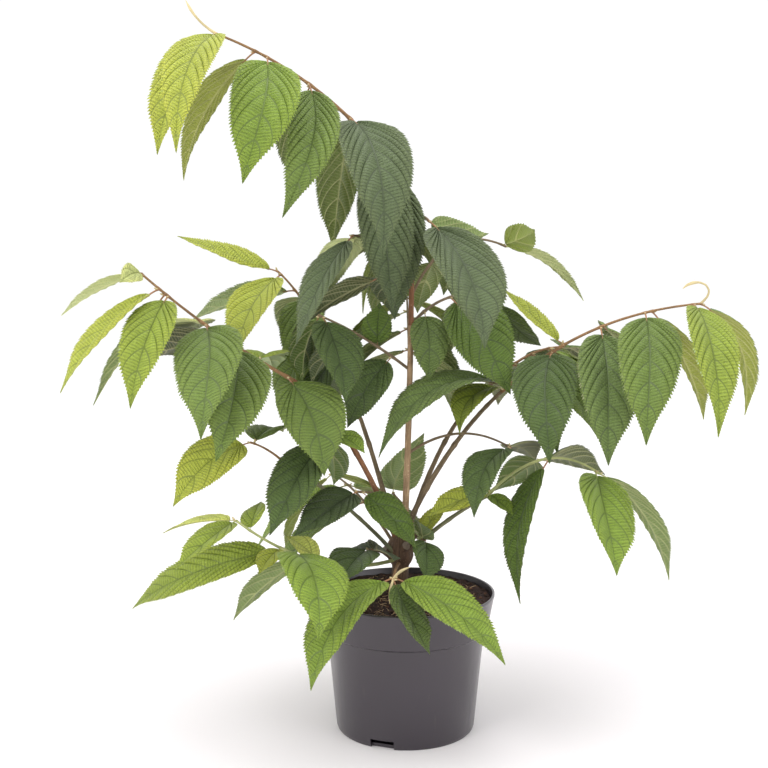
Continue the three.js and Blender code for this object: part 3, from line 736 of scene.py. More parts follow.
def feel(leaf):
    # what a leaf is felt out with: its faces, and short lines along and through it
    petiole = leafShape["petiole"]
    shares = arr(*[petiole + t * (1 - petiole) for t, _ in feltOutline])
    half = arr(*[share * leaf["width"] / 2 for _, share in feltOutline])[:, None]
    middle, normal = leafMiddle(leaf, shares)
    raised = middle + normal * leafShape["fold"] * half
    left, right = raised - leaf["side"] * half, raised + leaf["side"] * half
    faces, lines, last = [], [], len(feltOutline) - 1
    beside = leaf["side"] * feeler["beside"]
    for k in range(last + 1):
        through = normal[k] * feeler["through"]
        for p in (left[k], middle[k], right[k]):
            lines.append((p - through, p + through))
        lines += [(left[k] - beside, middle[k]), (middle[k], right[k] + beside)]
        if k < last:
            faces += [(left[k], middle[k], left[k + 1]), (middle[k], middle[k + 1], left[k + 1])]
            faces += [(middle[k], right[k], middle[k + 1]), (right[k], right[k + 1], middle[k + 1])]
            lines += [(left[k], left[k + 1]), (middle[k], middle[k + 1]), (right[k], right[k + 1])]
    lines.append((middle[last], middle[last] + leaf["chord"] * feeler["ahead"]))
    stalk = leafMiddle(leaf, arr(0.06, petiole))[0]
    outline = np.concatenate([left, right, stalk[:1]])
    shape = {"faces": np.array(faces), "lines": np.array(lines), "stalk": stalk[None], **ball(outline)}
    return shape, np.concatenate([left, middle, right])


def feelLimb(limb, radius):
    line, faces, lines = limbLine(limb, 8), [], []
    for a, b in zip(line, line[1:]):
        along = unit(b - a)
        across = unit(np.cross(along, arr(0.3, 0.2, 0.93)))
        for d in (across, np.cross(along, across)):
            reach = d * (radius + 1.2)
            faces += [(a - reach, a + reach, b + reach), (a - reach, b + reach, b - reach)]
        lines.append((a, b))
    return {"faces": np.array(faces), "lines": np.array(lines), "stalk": None, **ball(line)}


def ball(points):
    middle = points.mean(axis=0)
    return {"middle": middle, "radius": np.linalg.norm(points - middle, axis=1).max() + 4}


def crosses(lines, faces):
    # does any line pass through any face
    if lines is None or faces is None or not len(lines) or not len(faces):
        return False
    a, along = lines[:, None, 0], (lines[:, 1] - lines[:, 0])[:, None]
    p, edge1, edge2 = faces[None, :, 0], (faces[:, 1] - faces[:, 0])[None], (faces[:, 2] - faces[:, 0])[None]
    h = np.cross(along, edge2)
    det = (edge1 * h).sum(-1)
    safe = np.where(np.abs(det) < 1e-9, 1.0, det)
    start = a - p
    u = (start * h).sum(-1) / safe
    g = np.cross(start, np.broadcast_to(edge1, start.shape))
    v = (along * g).sum(-1) / safe
    t = (edge2 * g).sum(-1) / safe
    hit = (np.abs(det) >= 1e-9) & (u >= 0) & (u <= 1) & (v >= 0) & (u + v <= 1) & (t >= 0) & (t <= 1)
    return bool(hit.any())


def touch(one, other, sameStem):
    if np.linalg.norm(one["middle"] - other["middle"]) > one["radius"] + other["radius"]:
        return False
    if crosses(one["lines"], other["faces"]) or crosses(other["lines"], one["faces"]):
        return True
    if sameStem:
        return False
    return crosses(one["stalk"], other["faces"]) or crosses(other["stalk"], one["faces"])


def inPot(points):
    reach, z = np.hypot(points[:, 0], points[:, 1]), points[:, 2]
    limit = np.where(z > pot["collarFoot"], pot["rimRadius"], pot["collarRadius"]) + feeler["fromWall"]
    return bool(((z <= pot["height"] + feeler["fromRim"]) & (reach < limit)).any())


swings = [(turn, lift) for turn in range(-24, 25, 4) for lift in range(-18, 19, 6)]
swings.sort(key=lambda s: s[0] ** 2 + 2 * s[1] ** 2)
felt = []


def placeLeaf(spray, name, row):
    # the least swing aside, up or down that keeps the leaf clear of everything placed before it
    at, heading, hang, length, width, tone = row[:6]
    curl, roll, sweep = list(row[6:]) + [leafShape["curl"], 0, 0][len(row) - 6:]
    for turn, lift in swings:
        leaf = leafFrame(placeOn(spray, at), heading + turn, hang + lift, length, width, curl, roll, sweep)
        shape, points = feel(leaf)
        if inPot(points):
            continue
        near = [o for o in felt if length > 40 or o[0] != name or o[1]["stalk"] is not None]
        if any(touch(shape, other, owner == name) for owner, other in near):
            continue
        felt.append((name, shape))
        leaf["tone"], leaf["at"] = tone, at
        return leaf
    return None


# the sprays: a stem each, and rows of leaves
# A leaf's row: place along the stem, heading, hang, length, width and tone, then, where they aren't plain,
# curl, roll and sweep, which is how far the leaf's middle sways to its right side.
sprays = {
    "top_left_spray": {
        "from": (5, 0, 488), "to": (-160, -53, 620), "bow": (10, -4, 15),
        "radius": (2.1, 1.1), "bark": "twig",
        "leaves": [
            (1, -126, -58, 123, 45, "lime", 32, -12, -2), (0.98, -104, -58, 146, 40, "lime", 38, -1, 3),
            (0.84, 158, -57, 127, 42, "olive", 24, 0, -2), (0.79, -101, -62, 124, 55, "fresh", 37, -15, -6),
            (0.6, -105, -64, 129, 41, "mid", 32, -17, -13), (0.59, 103, -54, 105, 46, "mid", 22, -45),
            (0.39, -70, -58, 142, 57, "slate", 42, 5, -5), (0.38, 124, -71, 117, 44, "mid", 10, 0, 2),
            (0.2, -84, -78, 141, 50, "slate", 19, -11, 4), (0.12, -80, -84, 132, 46, "slate", 22, 0, 0),
            (1, 162, 50, 27, 8, "bud"),
        ],
    },
    "upper_left_spray": {
        "from": (4, 0, 430), "to": (-48, -35, 453), "bow": (0, 0, 6), "radius": (1.5, 1), "bark": "brown",
        "leaves": [(0.98, -125, -47, 123, 39, "slate", 18, 7, -5), (0.9, 120, -44, 84, 40, "pale")],
    },
    "side_left_spray": {
        "from": (4, 0, 405), "to": (-22, 12, 416), "bow": (0, 0, 2), "radius": (1.4, 1), "bark": "brown",
        "leaves": [(1, 168, -33, 99, 40, "slate", 15, 22, -1), (0.9, 80, -30, 80, 40, "deep")],
    },
    "middle_left_spray": {
        "from": (4, 0, 332), "to": (-79, -12, 383), "bow": (0, 0, 4), "radius": (1.5, 1), "bark": "brown",
        "leaves": [
            (0.98, 140, -68, 66, 38, "moss", 20), (0.95, -68, -53, 88, 50, "deep", 20, -15),
            (0.36, 76, 86, 40, 28, "moss", 10), (0.2, -164, -55, 76, 42, "deep", 20, -40),
            (0.6, 145, -45, 70, 38, "deep"),
        ],
    },
    "top_right_spray": {
        "from": (5, 0, 471), "to": (19, -22, 466), "bow": (0, 0, 3), "radius": (1.4, 1), "bark": "brown",
        "leaves": [
            (1, -55, -55, 132, 66, "slate", 25, 5, -5), (0.9, -3, -12, 56, 25, "fresh", 9, -80, -8),
            (0.7, 28, -60, 62, 38, "mid"),
        ],
    },
    "upper_right_spray": {
        "from": (4, 2, 398), "to": (93, 40, 444), "bow": (-6, 0, 24), "radius": (1.6, 1), "bark": "brown",
        "leaves": [
            (0.97, -61, 16, 52, 29, "lime", 10, -60, -3), (1, 26, -31, 102, 24, "pale", 27, -6, -3),
            (0.3, 112, -57, 60, 36, "mid"), (0.7, 110, -36, 92, 44, "mid"),
        ],
    },
    "middle_right_spray": {
        "from": (4, 1, 373), "to": (84, 45, 394), "bow": (-3, 0, 14), "radius": (1.6, 1), "bark": "brown",
        "leaves": [
            (0.5, -40, -49, 110, 56, "moss", 20, 39, -1), (1, 34, -40, 72, 38, "grey", 18, 160),
            (0.18, -95, -62, 66, 36, "grey", 20), (0.9, 118, -40, 90, 44, "mid"),
        ],
    },
    "right_spray": {
        "from": (88, 18, 310), "to": (256, -35, 394), "bow": (-7, 0, 16), "radius": (1.7, 1), "bark": "twig",
        "leaves": [
            (0.04, -142, -18, 143, 51, "grey", 43, -10, 2), (0.02, -140, -35, 65, 37, "leafy", 44, -6, 7),
            (0.3, -102, -48, 120, 56, "deep", 37, 4, 1), (0.34, 62, -19, 92, 46, "grey", 20, 10),
            (0.36, 144, 39, 81, 22, "lime", 7, -12, -4), (0.55, -89, -59, 133, 55, "grey", 29, -10, 5),
            (0.56, 65, -33, 106, 48, "mid", 20, 30), (0.76, -97, -53, 133, 52, "mid", 36, 4, -2),
            (0.79, 33, -57, 120, 42, "olive", 18, 12), (0.97, -94, -48, 138, 43, "leafy", 38, -20, 7),
            (1, 31, -59, 121, 37, "olive", 36, 15, -3), (1, 105, 31, 32, 10, "bud", 20),
        ],
    },
    "low_right_spray": {
        "from": (74, -5, 217), "to": (172, -24, 242), "bow": (0, -4, 24), "radius": (1.5, 1), "bark": "green",
        "leaves": [
            (0.02, -58, -23, 36, 18, "fresh", 15, 10), (0.04, -160, -20, 64, 34, "lime", 14, -20),
            (0.46, 125, -30, 78, 31, "moss", 23, 39, 5), (0.56, -133, -71, 132, 40, "moss", 24, 17, 2),
            (0.54, 43, -16, 93, 37, "slate", 25, -31, -6), (0.97, -89, -42, 109, 54, "fresh", 23, -26, 7),
            (1, 28, -53, 136, 38, "fresh", 28, 0, -3),
        ],
    },
    "thin_right_spray": {
        "from": (4, 1, 257), "to": (95, -5, 262), "bow": (0, 0, 15), "radius": (1.5, 1), "bark": "brown",
        "leaves": [(1, -121, -32, 94, 41, "deep", 30, 9, 2), (0.98, 55, -21, 60, 36, "grey", 20, -15)],
    },
    "left_spray": {
        "from": (-100, -35, 327), "to": (-223, -75, 421), "bow": (-2, 0, -4),
        "radius": (1.7, 1), "bark": "twig",
        "leaves": [
            (1, -113, -12, 32, 18, "pale", 20, -54, 2), (1, 160, -24, 90, 26, "pale", 15, 5, 3),
            (0.88, -144, -42, 122, 41, "lime", 18, -1), (0.82, -105, -46, 111, 41, "leafy", 33, -5, -2),
            (0.84, 156, -52, 125, 36, "fresh", 5, -14, 1), (0.57, -82, -41, 127, 56, "mid", 31, 13, -8),
            (0.6, 122, -16, 97, 43, "pale", 15, 2, 6), (0.36, -97, -44, 122, 56, "mid", 32, -17, -5),
            (0.42, 137, -12, 111, 47, "dark", 18, 30, 5), (0.22, 87, -11, 104, 46, "leafy"),
            (0.04, -49, -56, 97, 61, "mid", 24, 12, -3),
        ],
    },
    "left_foot_spray": {
        "from": (-26.3, -10.2, 221), "to": (-44, -28, 226), "bow": (0, 0, 0),
        "radius": (1.3, 1), "bark": "brown",
        "leaves": [(1, -128, -14, 92, 39, "dark", 14, -18, -4), (0.8, -17, -45, 70, 38, "moss", 20, 25)],
    },
    "left_middle_spray": {
        "from": (-57, -21, 281), "to": (-74, -34, 272), "bow": (0, 0, 3), "radius": (1.3, 1), "bark": "brown",
        "leaves": [
            (1, -124, -43, 102, 48, "deep", 19, -11, -3), (0.5, -41, -22, 40, 26, "fresh", 15, 10),
            (0.8, 85, -57, 58, 34, "moss", 20, 35),
        ],
    },
    "thin_left_spray": {
        "from": (-109, -45, 257), "to": (-136, -50, 274), "bow": (0, 0, 2),
        "radius": (1.3, 0.9), "bark": "twig",
        "leaves": [(1, -144, -30, 90, 47, "lime", 23, -28, 4), (0.9, 75, 0, 70, 34, "mid")],
    },
    "low_left_spray": {
        "from": (-8, -4, 158), "to": (-144, -95, 215), "bow": (0, -4, -18), "radius": (2, 1), "bark": "green",
        "leaves": [
            (0.72, 168, -24, 155, 39, "leafy", 29, -41, -6), (0.66, -77, -24, 109, 58, "fresh", 36, -14, -2),
            (1, 160, -13, 72, 28, "young", 15, -2, -1), (1, -131, -19, 77, 32, "leafy", 15, 1, -4),
            (0.58, 176, -42, 86, 40, "fresh", 19, 33), (0.5, 163, 32, 39, 26, "young", 15, -15),
            (0.92, 77, 29, 38, 24, "leafy", 15, -20), (0.74, -138, -37, 36, 24, "lime", 15),
        ],
    },
    "front_spray": {
        "from": (-6, -4, 154), "to": (-12, -70, 158), "bow": (0, 0, 3), "radius": (1.9, 1.1), "bark": "twig",
        "leaves": [
            (0.97, -131, -34, 127, 60, "fresh", 29, 7, 4), (0.97, -30, -31, 121, 50, "fresh", 25, 12),
            (1, -51, -51, 72, 36, "grey", 3, -9, 2), (1, 10, 32, 18, 6, "bud"), (1, -95, -60, 22, 6, "bud"),
        ],
    },
    "foot_left_spray": {
        "from": (-9, -4, 156), "to": (-34, -24, 172), "bow": (0, 0, 3), "radius": (1.6, 1), "bark": "brown",
        "leaves": [
            (1, -117, -18, 60, 46, "deep", 18), (0.9, -70, 0, 42, 32, "dark", 18, -35),
            (0.8, 170, -20, 50, 36, "dark"),
        ],
    },
    "foot_right_spray": {
        "from": (0, -2, 164), "to": (18, -12, 178), "bow": (0, 0, 3), "radius": (1.6, 1), "bark": "brown",
        "leaves": [
            (1, -95, -40, 44, 32, "deep", 18, -30), (0.85, -102, 46, 32, 26, "moss", 10, -35),
            (0.7, 30, 62, 50, 22, "lime", 10),
        ],
    },
    "centre_spray": {
        "from": (0, 1, 205), "to": (-12, 10, 217), "bow": (0, 0, 0), "radius": (1.4, 1), "bark": "brown",
        "leaves": [(1, 60, 40, 76, 42, "fresh", 23, 185, 8)],
    },
    "back_left_spray": {
        "from": (-62, 70, 326), "to": (-122, 76, 420), "bow": (0, 0, 10), "radius": (1.6, 1), "bark": "twig",
        "leaves": [(1, 171, 18, 107, 31, "lime", 5, -22, -5), (0.72, 167, -15, 111, 44, "leafy", 14, 24)],
        "pairs": 4, "within": (0.08, 0.95), "seed": 34,
    },
    "back_right_spray": {
        "from": (84, 70, 312), "to": (160, 102, 345), "bow": (0, 0, 10), "radius": (1.6, 1), "bark": "twig",
        "pairs": 4, "within": (0.3, 1), "seed": 19,
    },
    "back_top_spray": {
        "from": (5, 1, 420), "to": (-2, 128, 460), "bow": (0, 0, 14), "radius": (1.6, 1), "bark": "twig",
        "pairs": 4, "within": (0.5, 1), "seed": 196,
    },
    "back_middle_spray": {
        "from": (4, 1, 300), "to": (3, 120, 393), "bow": (0, 0, 10), "radius": (1.6, 1), "bark": "brown",
        "pairs": 4, "within": (0.4, 1), "seed": 307,
    },
    "low_back_spray": {
        "from": (-5, 4, 160), "to": (-73, 132, 212), "bow": (0, 0, 10), "radius": (1.8, 1), "bark": "brown",
        "pairs": 3, "within": (0.5, 1), "seed": 271,
    },
}
# The rule for leaves that are grown: middle value and half range; tones go from a shoot's foot to its tip.
grown = {"length": (104, 16), "width": 0.46, "hang": (-50, 18), "side": (72, 22),
         "tones": ("deep", "grey", "mid", "mid", "fresh", "lime")}


def grownLeaves(spray):
    draw, leaves = seeded(spray["seed"]), []

    def spread(value, half):
        return value + half * (2 * next(draw) - 1)

    along = np.subtract(spray["to"], spray["from"])
    heading = math.degrees(math.atan2(along[1], along[0]))
    low, high = spray["within"]
    for i in range(spray["pairs"]):
        at = low + (high - low) * i / max(1, spray["pairs"] - 1)
        tone = grown["tones"][min(5, int(at * 5.99))]
        for side in (1, -1):
            length = spread(*grown["length"])
            aside = heading + side * spread(*grown["side"])
            leaves.append((at, aside, spread(*grown["hang"]), length, grown["width"] * length, tone))
    return leaves


def placeAllLeaves():
    for limb in boughs.values():
        felt.append(("limb", feelLimb(limb, limb["radius"][0])))
    felt.append(("limb", feelLimb(leader, leader["radius"][0])))
    (cx, cy), foot, (tall, wide) = crown["centre"], crown["foot"], crown["keepOff"]
    stock = {"from": (cx, cy, foot), "to": (cx, cy, foot + tall), "bow": (0, 0, 0)}
    felt.append(("limb", feelLimb(stock, wide)))
    for name, spray in sprays.items():
        spray["placed"] = []
        felt.append((name, feelLimb(spray, spray["radius"][0] * 0.6)))
    for step in ("named", "grown"):
        for name, spray in sprays.items():
            if step == "named":
                rows = spray.get("leaves", [])
            else:
                rows = grownLeaves(spray) if "pairs" in spray else []
            for row in rows:
                leaf = placeLeaf(spray, name, row)
                if leaf:
                    spray["placed"].append(leaf)
                else:
                    print("no room for a leaf of", name, row)
    report(f"{sum(len(s['placed']) for s in sprays.values())} leaves placed")


# the mesh of one leaf
blade = {
    "veinEvery": 12.0,  # along the margin
    "fewestMost": (4, 12), "veinsFrom": 0.13, "veinsTo": 0.94,
    "steps": 8,  # lines in one panel between two side veins
    "veinHalf": 0.05,  # half a side vein's width, as a share of its panel
    "shares": (0, 0.025, 0.12, 0.26, 0.41, 0.56, 0.71, 0.85, 0.95, 1),  # from the midrib to the margin
    "lean": 0.46,  # how far a side vein runs forward
    "pleat": 1.7,
    "tooth": 1.7,
    "skin": 0.34,  # thickness
    "rib": 0.85,  # the midrib's height under the blade
    "veinRidge": 0.4,
    "arch": 0.13,  # how far the margins turn down
    "ruffle": 1.1,
    "sway": 0.035,
    "tipPull": 0.38,
}


def bladeOutline(t):
    # ovate with a drawn-out tip, 1 at its widest
    t = np.clip(t, 0, 1)
    return t**0.55 * (1 - t) ** 0.98 / 0.3685 * (1 - blade["tipPull"] * smooth(t, 0.66, 0.98))


def bladeLines(length):
    # where each cross line leaves the midrib and meets the margin, and its place within its panel
    panels = int(np.clip(round(length / blade["veinEvery"]), *blade["fewestMost"])) + 1
    first, last = blade["veinsFrom"], blade["veinsTo"]
    shares = (np.arange(panels - 1) / (panels - 2)) ** 0.94
    veins = np.concatenate([[0.004], first + (last - first) * shares, [1.0]])
    steps, half = blade["steps"], blade["veinHalf"]
    inner = np.concatenate([[0, half], half + (1 - 2 * half) * np.arange(1, steps - 1) / (steps - 2)])
    index = np.repeat(np.arange(panels), steps)
    place, even = np.tile(inner, panels), np.tile(np.arange(steps) / steps, panels)
    low, high = veins[index], veins[index + 1]
    return place, low + (high - low) * place, low + (high - low) * even


def leafMesh(leaf, seed):
    # vertices, faces, marks (upper skin, its veins, underside, its veins) and pattern places
    draw = seeded(seed)
    length, width = leaf["length"], leaf["width"]
    place, marginAt, toothAt = bladeLines(length)
    shares = np.array(blade["shares"])
    signed = np.concatenate([-shares[:0:-1], shares])
    s, sign = np.abs(signed)[None, :], np.sign(signed)[None, :]
    half, bladeLength = width / 2, length * (1 - leafShape["petiole"])
    lean = blade["lean"] * width / (0.46 * length)
    late = smooth(s, 0.86, 1.0)
    end = marginAt[:, None] * (1 - late) + toothAt[:, None] * late
    start = np.clip(end - lean * bladeOutline(end) - 0.03 * (1 - end), 0, 1)
    t = start + (end - start) * s**1.18
    lateral = bladeOutline(t) * half * s
    # teeth point forward, smaller towards the tip and the foot
    size = blade["tooth"] * np.clip(length / 105, 0.45, 1.1) * np.clip(bladeOutline(toothAt) * 1.5, 0.15, 1)
    tip = (np.arange(len(place)) % 2 == 0)[:, None]
    jitter = arr(*[0.8 + 0.4 * next(draw) for _ in place])[:, None]
    edge = (s >= 0.999) & (np.arange(len(place)) > 0)[:, None]
    tooth = np.where(edge & tip, size[:, None] * jitter, 0) - np.where(edge & ~tip, size[:, None] * 0.25, 0)
    lateral = lateral + tooth * 0.8
    t = np.clip(t + tooth * 0.9 / bladeLength, 0, 0.999)
    # relief: panels puff up between the veins, the midrib lies in a groove
    depth = blade["pleat"] * np.clip(length / 105, 0.5, 1.1)
    panelWide = np.clip(bladeOutline(marginAt) * 1.35, 0.12, 1)[:, None]
    puff = np.abs(np.sin(math.pi * place))[:, None] ** 0.75
    reach = smooth(s, 0.02, 0.3) * (1 - 0.62 * smooth(s, 0.7, 1.0))
    relief = depth * puff * reach * panelWide
    relief = relief - 0.35 * (s < 0.01) * panelWide
    phase, way = 6.3 * next(draw), 1 if next(draw) > 0.5 else -1
    ruffle = blade["ruffle"] * np.clip(width / 50, 0.4, 1.2) * (0.5 + next(draw))
    wave = ruffle * np.sin(9 * t + phase + (sign > 0) * 1.9) * s**2 * np.clip(bladeOutline(t) * 1.5, 0, 1)
    fold = leafShape["fold"] + blade["arch"] * 0.6 + 0.08 * (next(draw) - 0.5)
    bowl = lateral * fold - blade["arch"] * half * bladeOutline(t) * s**2.2
    height = relief + wave + bowl
    u = leafShape["petiole"] + (1 - leafShape["petiole"]) * t
    sway = way * blade["sway"] * (0.3 + next(draw)) * length * smooth(t, 0.25, 1.0)
    middle, normal = leafMiddle(leaf, u)
    across = lateral * sign + sway
    top = middle + normal * height[..., None] + leaf["side"] * across[..., None]
    onVein = (place < 0.001)[:, None] & (marginAt > 0.05)[:, None]
    rib = blade["rib"] * (1 - 0.75 * t) * (s < 0.01)
    ridge = rib + blade["veinRidge"] * onVein * (1 - 0.6 * s) * (s > 0.01)
    skin = blade["skin"] * (1 - 0.4 * s) + ridge * np.clip(length / 100, 0.4, 1)
    bottom = top - normal * skin[..., None]
    tipPoint = leafMiddle(leaf, 1.0)[0] + leaf["side"] * sway[-1].mean()
    flat = np.stack(np.broadcast_arrays(s * sign, t * bladeLength * mm), axis=-1)
    return joinBlade(top, bottom, tipPoint, flat, s)


def joinBlade(top, bottom, tipPoint, flat, s):
    rows, columns = top.shape[:2]
    middle = columns // 2
    topId = np.arange(rows * columns).reshape(rows, columns)
    inner = np.arange(rows * (columns - 2)).reshape(rows, columns - 2) + rows * columns
    bottomId = np.concatenate([topId[:, :1], inner, topId[:, -1:]], axis=1)
    tipId = rows * columns + inner.size
    points = np.concatenate([top.reshape(-1, 3), bottom[:, 1:-1].reshape(-1, 3), tipPoint[None]])
    flat = np.concatenate([flat.reshape(-1, 2), flat[:, 1:-1].reshape(-1, 2), [[0, flat[..., 1].max()]]])
    steps = blade["steps"]
    veinRow = [k % steps in (0, steps - 1) and steps - 2 < k < rows - 2 for k in range(rows)]
    veinColumn = [0.03 < max(s[0, c], s[0, c + 1]) < 0.97 for c in range(columns - 1)]
    faces, marks = [], []
    for k in range(rows - 1):
        for c in range(columns - 1):
            rib = c in (middle - 1, middle)
            vein = 1 if rib or (veinRow[k] and veinColumn[c]) else 0
            a, b, d, e = topId[k, c], topId[k, c + 1], topId[k + 1, c + 1], topId[k + 1, c]
            faces.append((a, b, d, e))
            marks.append(vein)
            a, b, d, e = bottomId[k, c], bottomId[k, c + 1], bottomId[k + 1, c + 1], bottomId[k + 1, c]
            faces.append((e, d, b, a))
            marks.append(2 + vein)
    last = rows - 1
    for c in range(columns - 1):
        faces.append((topId[last, c], topId[last, c + 1], tipId))
        faces.append((bottomId[last, c + 1], bottomId[last, c], tipId))
        marks += [0, 2]
        if 0 < c < columns - 2:
            faces.append((bottomId[0, c], bottomId[0, c + 1], topId[0, c + 1], topId[0, c]))
            marks.append(2)
    faces += [(bottomId[0, 1], topId[0, 1], topId[0, 0]), (topId[0, -1], topId[0, -2], bottomId[0, -2])]
    marks += [2, 2]
    return points, faces, marks, flat


def petioleTube(draft, leaf):
    # the leaf stalk, from inside the stem to a little way along the blade's foot
    end = leafShape["petiole"] + 0.035
    u = np.linspace(0, end, 12)
    middle, normal = leafMiddle(leaf, u)
    size = np.clip(leaf["length"] / 105, 0.35, 1.05)
    radii = (1.25 - 0.55 * smooth(u, 0, end * 0.25) - 0.12 * smooth(u, end * 0.6, end)) * size
    middle = middle - normal * (0.5 * size * smooth(u, end * 0.4, end))[:, None]
    tube(draft, middle, radii, 9)


def budShape(draft, start, along, length, radius, mark=0):
    # a pointed bud of two scales
    u = np.linspace(0, 1, 9)
    line = start + along * (u * length)[:, None]
    radii = radius * (np.sin(math.pi * np.clip(0.18 + 0.82 * u, 0, 1)) ** 0.8) + 0.05
    tube(draft, line, radii, 8, mark, lambda k, angle: 1 + 0.12 * math.cos(2 * angle))


stalkColours = {"red": (148, 106, 74), "green": (160, 162, 100), "bud": (192, 176, 132)}
youngTones = ("young", "pale", "lime", "leafy", "fresh")  # their stalks are green, but not on a woody twig


def makeSprays():
    bark = plainSkin("leafStalkRed", linear(*stalkColours["red"]), 0.5, 0.2)
    pale = plainSkin("leafStalkGreen", linear(*stalkColours["green"]), 0.5, 0.2)
    scale = plainSkin("budScale", linear(*stalkColours["bud"]), 0.6, 0.15)
    twigs, stalksRed, stalksGreen, buds = Draft(), Draft(), Draft(), Draft()
    twigMarks = sorted({spray["bark"] for spray in sprays.values()})
    for number, (name, spray) in enumerate(sprays.items()):
        growTwig(twigs, spray, number, twigMarks.index(spray["bark"]))
        tones = [tone for tone in leafTones if any(leaf["tone"] == tone for leaf in spray["placed"])]
        leaves = Draft()
        for k, leaf in enumerate(spray["placed"]):
            if leaf["tone"] == "bud":
                if name not in shoots:
                    growTipBud(buds, leaf)
                continue
            points, faces, marks, flat = leafMesh(leaf, 100 * number + k + 1)
            offset = 4 * tones.index(leaf["tone"])
            leaves.add(points, faces, [mark + offset for mark in marks], flat)
            young = leaf["tone"] in youngTones and spray["bark"] != "twig"
            petioleTube(stalksGreen if young else stalksRed, leaf)
            growAxilBud(buds, spray, leaf)
        materials = [m for tone in tones for m in leafStock[tone]]
        piece = asPiece(leaves, name.replace("_", "-") + "-leaves", materials, 80)
        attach(piece, "root")
        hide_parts(name)
    for name, rows in shoots.items():
        growShoot(buds, sprays[name], rows)
    for draft, name, materials, slotName in (
        (twigs, "sprayTwigs", [barkStock[key] for key in twigMarks], "bark"),
        (stalksRed, "leafStalksRed", [bark], "bark"),
        (stalksGreen, "leafStalksGreen", [pale], "leaves"),
        (buds, "buds", [scale], "leaves"),
    ):
        piece = asPiece(draft, name, materials, 60)
        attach(piece, "root")


def growTwig(draft, spray, seed, mark):
    # the spray's own stem, with swollen nodes where its leaf pairs stand
    length = np.linalg.norm(np.subtract(spray["to"], spray["from"]))
    steps = max(10, int(length / 2))
    line = limbLine(spray, steps)
    u = np.linspace(0, 1, steps + 1)
    radii = spray["radius"][0] * 0.92 + (spray["radius"][1] * 0.9 - spray["radius"][0] * 0.92) * u
    swell = np.zeros(steps + 1)
    for at in sorted({leaf["at"] for leaf in spray["placed"]}):
        swell = np.maximum(swell, np.exp(-(((u - at) * length / 2.2) ** 2)))
    radii = radii * (1 + 0.34 * swell)
    start = line[0] - unit(line[1] - line[0]) * 1.5
    line = np.concatenate([[start], line])
    radii = np.concatenate([[radii[0]], radii])

    def shape(k, angle):
        lumps = noise.noise(Vector((math.cos(angle) * 1.3, math.sin(angle) * 1.3, k / 3 + seed * 5)))
        return 1 + 0.05 * math.sin(4 * angle + seed) + 0.08 * lumps

    tube(draft, line, radii, 12, mark, shape)


axilBud = {"fromLength": 60, "length": 4.6, "radius": 0.85}  # only beside leaves at least so long


def growAxilBud(draft, spray, leaf):
    # a small bud between the stem and the leaf stalk
    if leaf["length"] < axilBud["fromLength"]:
        return
    along = unit(leaf["chord"] * 0.35 + leaf["up"] * 0.7)
    start = placeOn(spray, leaf["at"]) + leaf["chord"] * 1.0
    budShape(draft, start, along, axilBud["length"], axilBud["radius"])


# Shoots that end a spray: points from its tip, and how thick each is there.
shoots = {
    "right_spray": [
        (0, 0, 0, 1.0), (2.6, 0, 2.4, 0.9), (6, 0, 6.5, 0.8), (7.2, -0.5, 11.5, 0.7), (4, -1, 16.5, 0.65),
        (-2, -1.5, 18.8, 0.7), (-8, -2, 18.2, 1.2), (-13, -2, 16.2, 0.9), (-16.5, -2, 13, 0.2),
    ],
    "top_left_spray": [
        (0, 0, 0, 1.0), (-5, 0, 3, 0.9), (-12, -0.5, 8.5, 0.75), (-18, -1, 15, 0.8), (-22, -1, 21, 1.0),
        (-25, -1.5, 27, 0.2),
    ],
}


def growShoot(draft, spray, rows):
    # a thin shoot, smoothed between its points
    rows = np.array(rows, float)
    at, fine = np.arange(len(rows)), np.linspace(0, len(rows) - 1, 5 * len(rows))
    soft = np.stack([np.interp(fine, at, rows[:, k]) for k in range(4)], axis=1)
    for _ in range(3):
        soft[1:-1] = (soft[:-2] + 2 * soft[1:-1] + soft[2:]) / 4
    line = np.array(spray["to"], float) + soft[:, :3]
    tube(draft, line, soft[:, 3], 8, 0, lambda k, angle: 1 + 0.3 * math.cos(2 * angle))


def growTipBud(draft, leaf):
    # the folded pair of tiny leaves that ends a shoot
    u = np.linspace(0, 1, 16)
    middle, _ = leafMiddle(leaf, u)
    radii = 0.75 + 0.95 * np.sin(math.pi * np.clip(u * 1.1 - 0.1, 0, 1)) * (leaf["length"] / 30) - 0.65 * u
    tube(draft, middle, np.clip(radii, 0.12, 3), 8, 0, lambda k, angle: 1 + 0.35 * math.cos(2 * angle))


# making it
report("materials")
leafStock = leafMaterials()
barkStock = {
    key: barkFinish(f"bark{key.capitalize()}", *(linear(*look[part]) for part in ("dark", "light", "pore")))
    for key, look in barks.items()
}

report("pot and soil")
potPiece = makePot()
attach(potPiece, "root")
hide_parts("pot")
soilPiece = makeSoil()
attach(soilPiece, "root")
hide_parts("soil")
for piece in (makeCrumbs(), makeFibres()):  # they lie on the bed
    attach(piece, "root")

report("crown, leader and boughs")
crownPiece, leaderPiece = makeCrown(), makeLeader()
for piece in (crownPiece, leaderPiece):
    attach(piece, "root")
    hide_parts("crown_and_leader")
for number, (name, limb) in enumerate(boughs.items()):
    piece = limbPiece(name.replace("_", "-") + "-bark", limb, number + 5)
    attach(piece, "root")
    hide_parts(name)

report("placing the leaves")
placeAllLeaves()
report("growing twigs and leaves")
makeSprays()


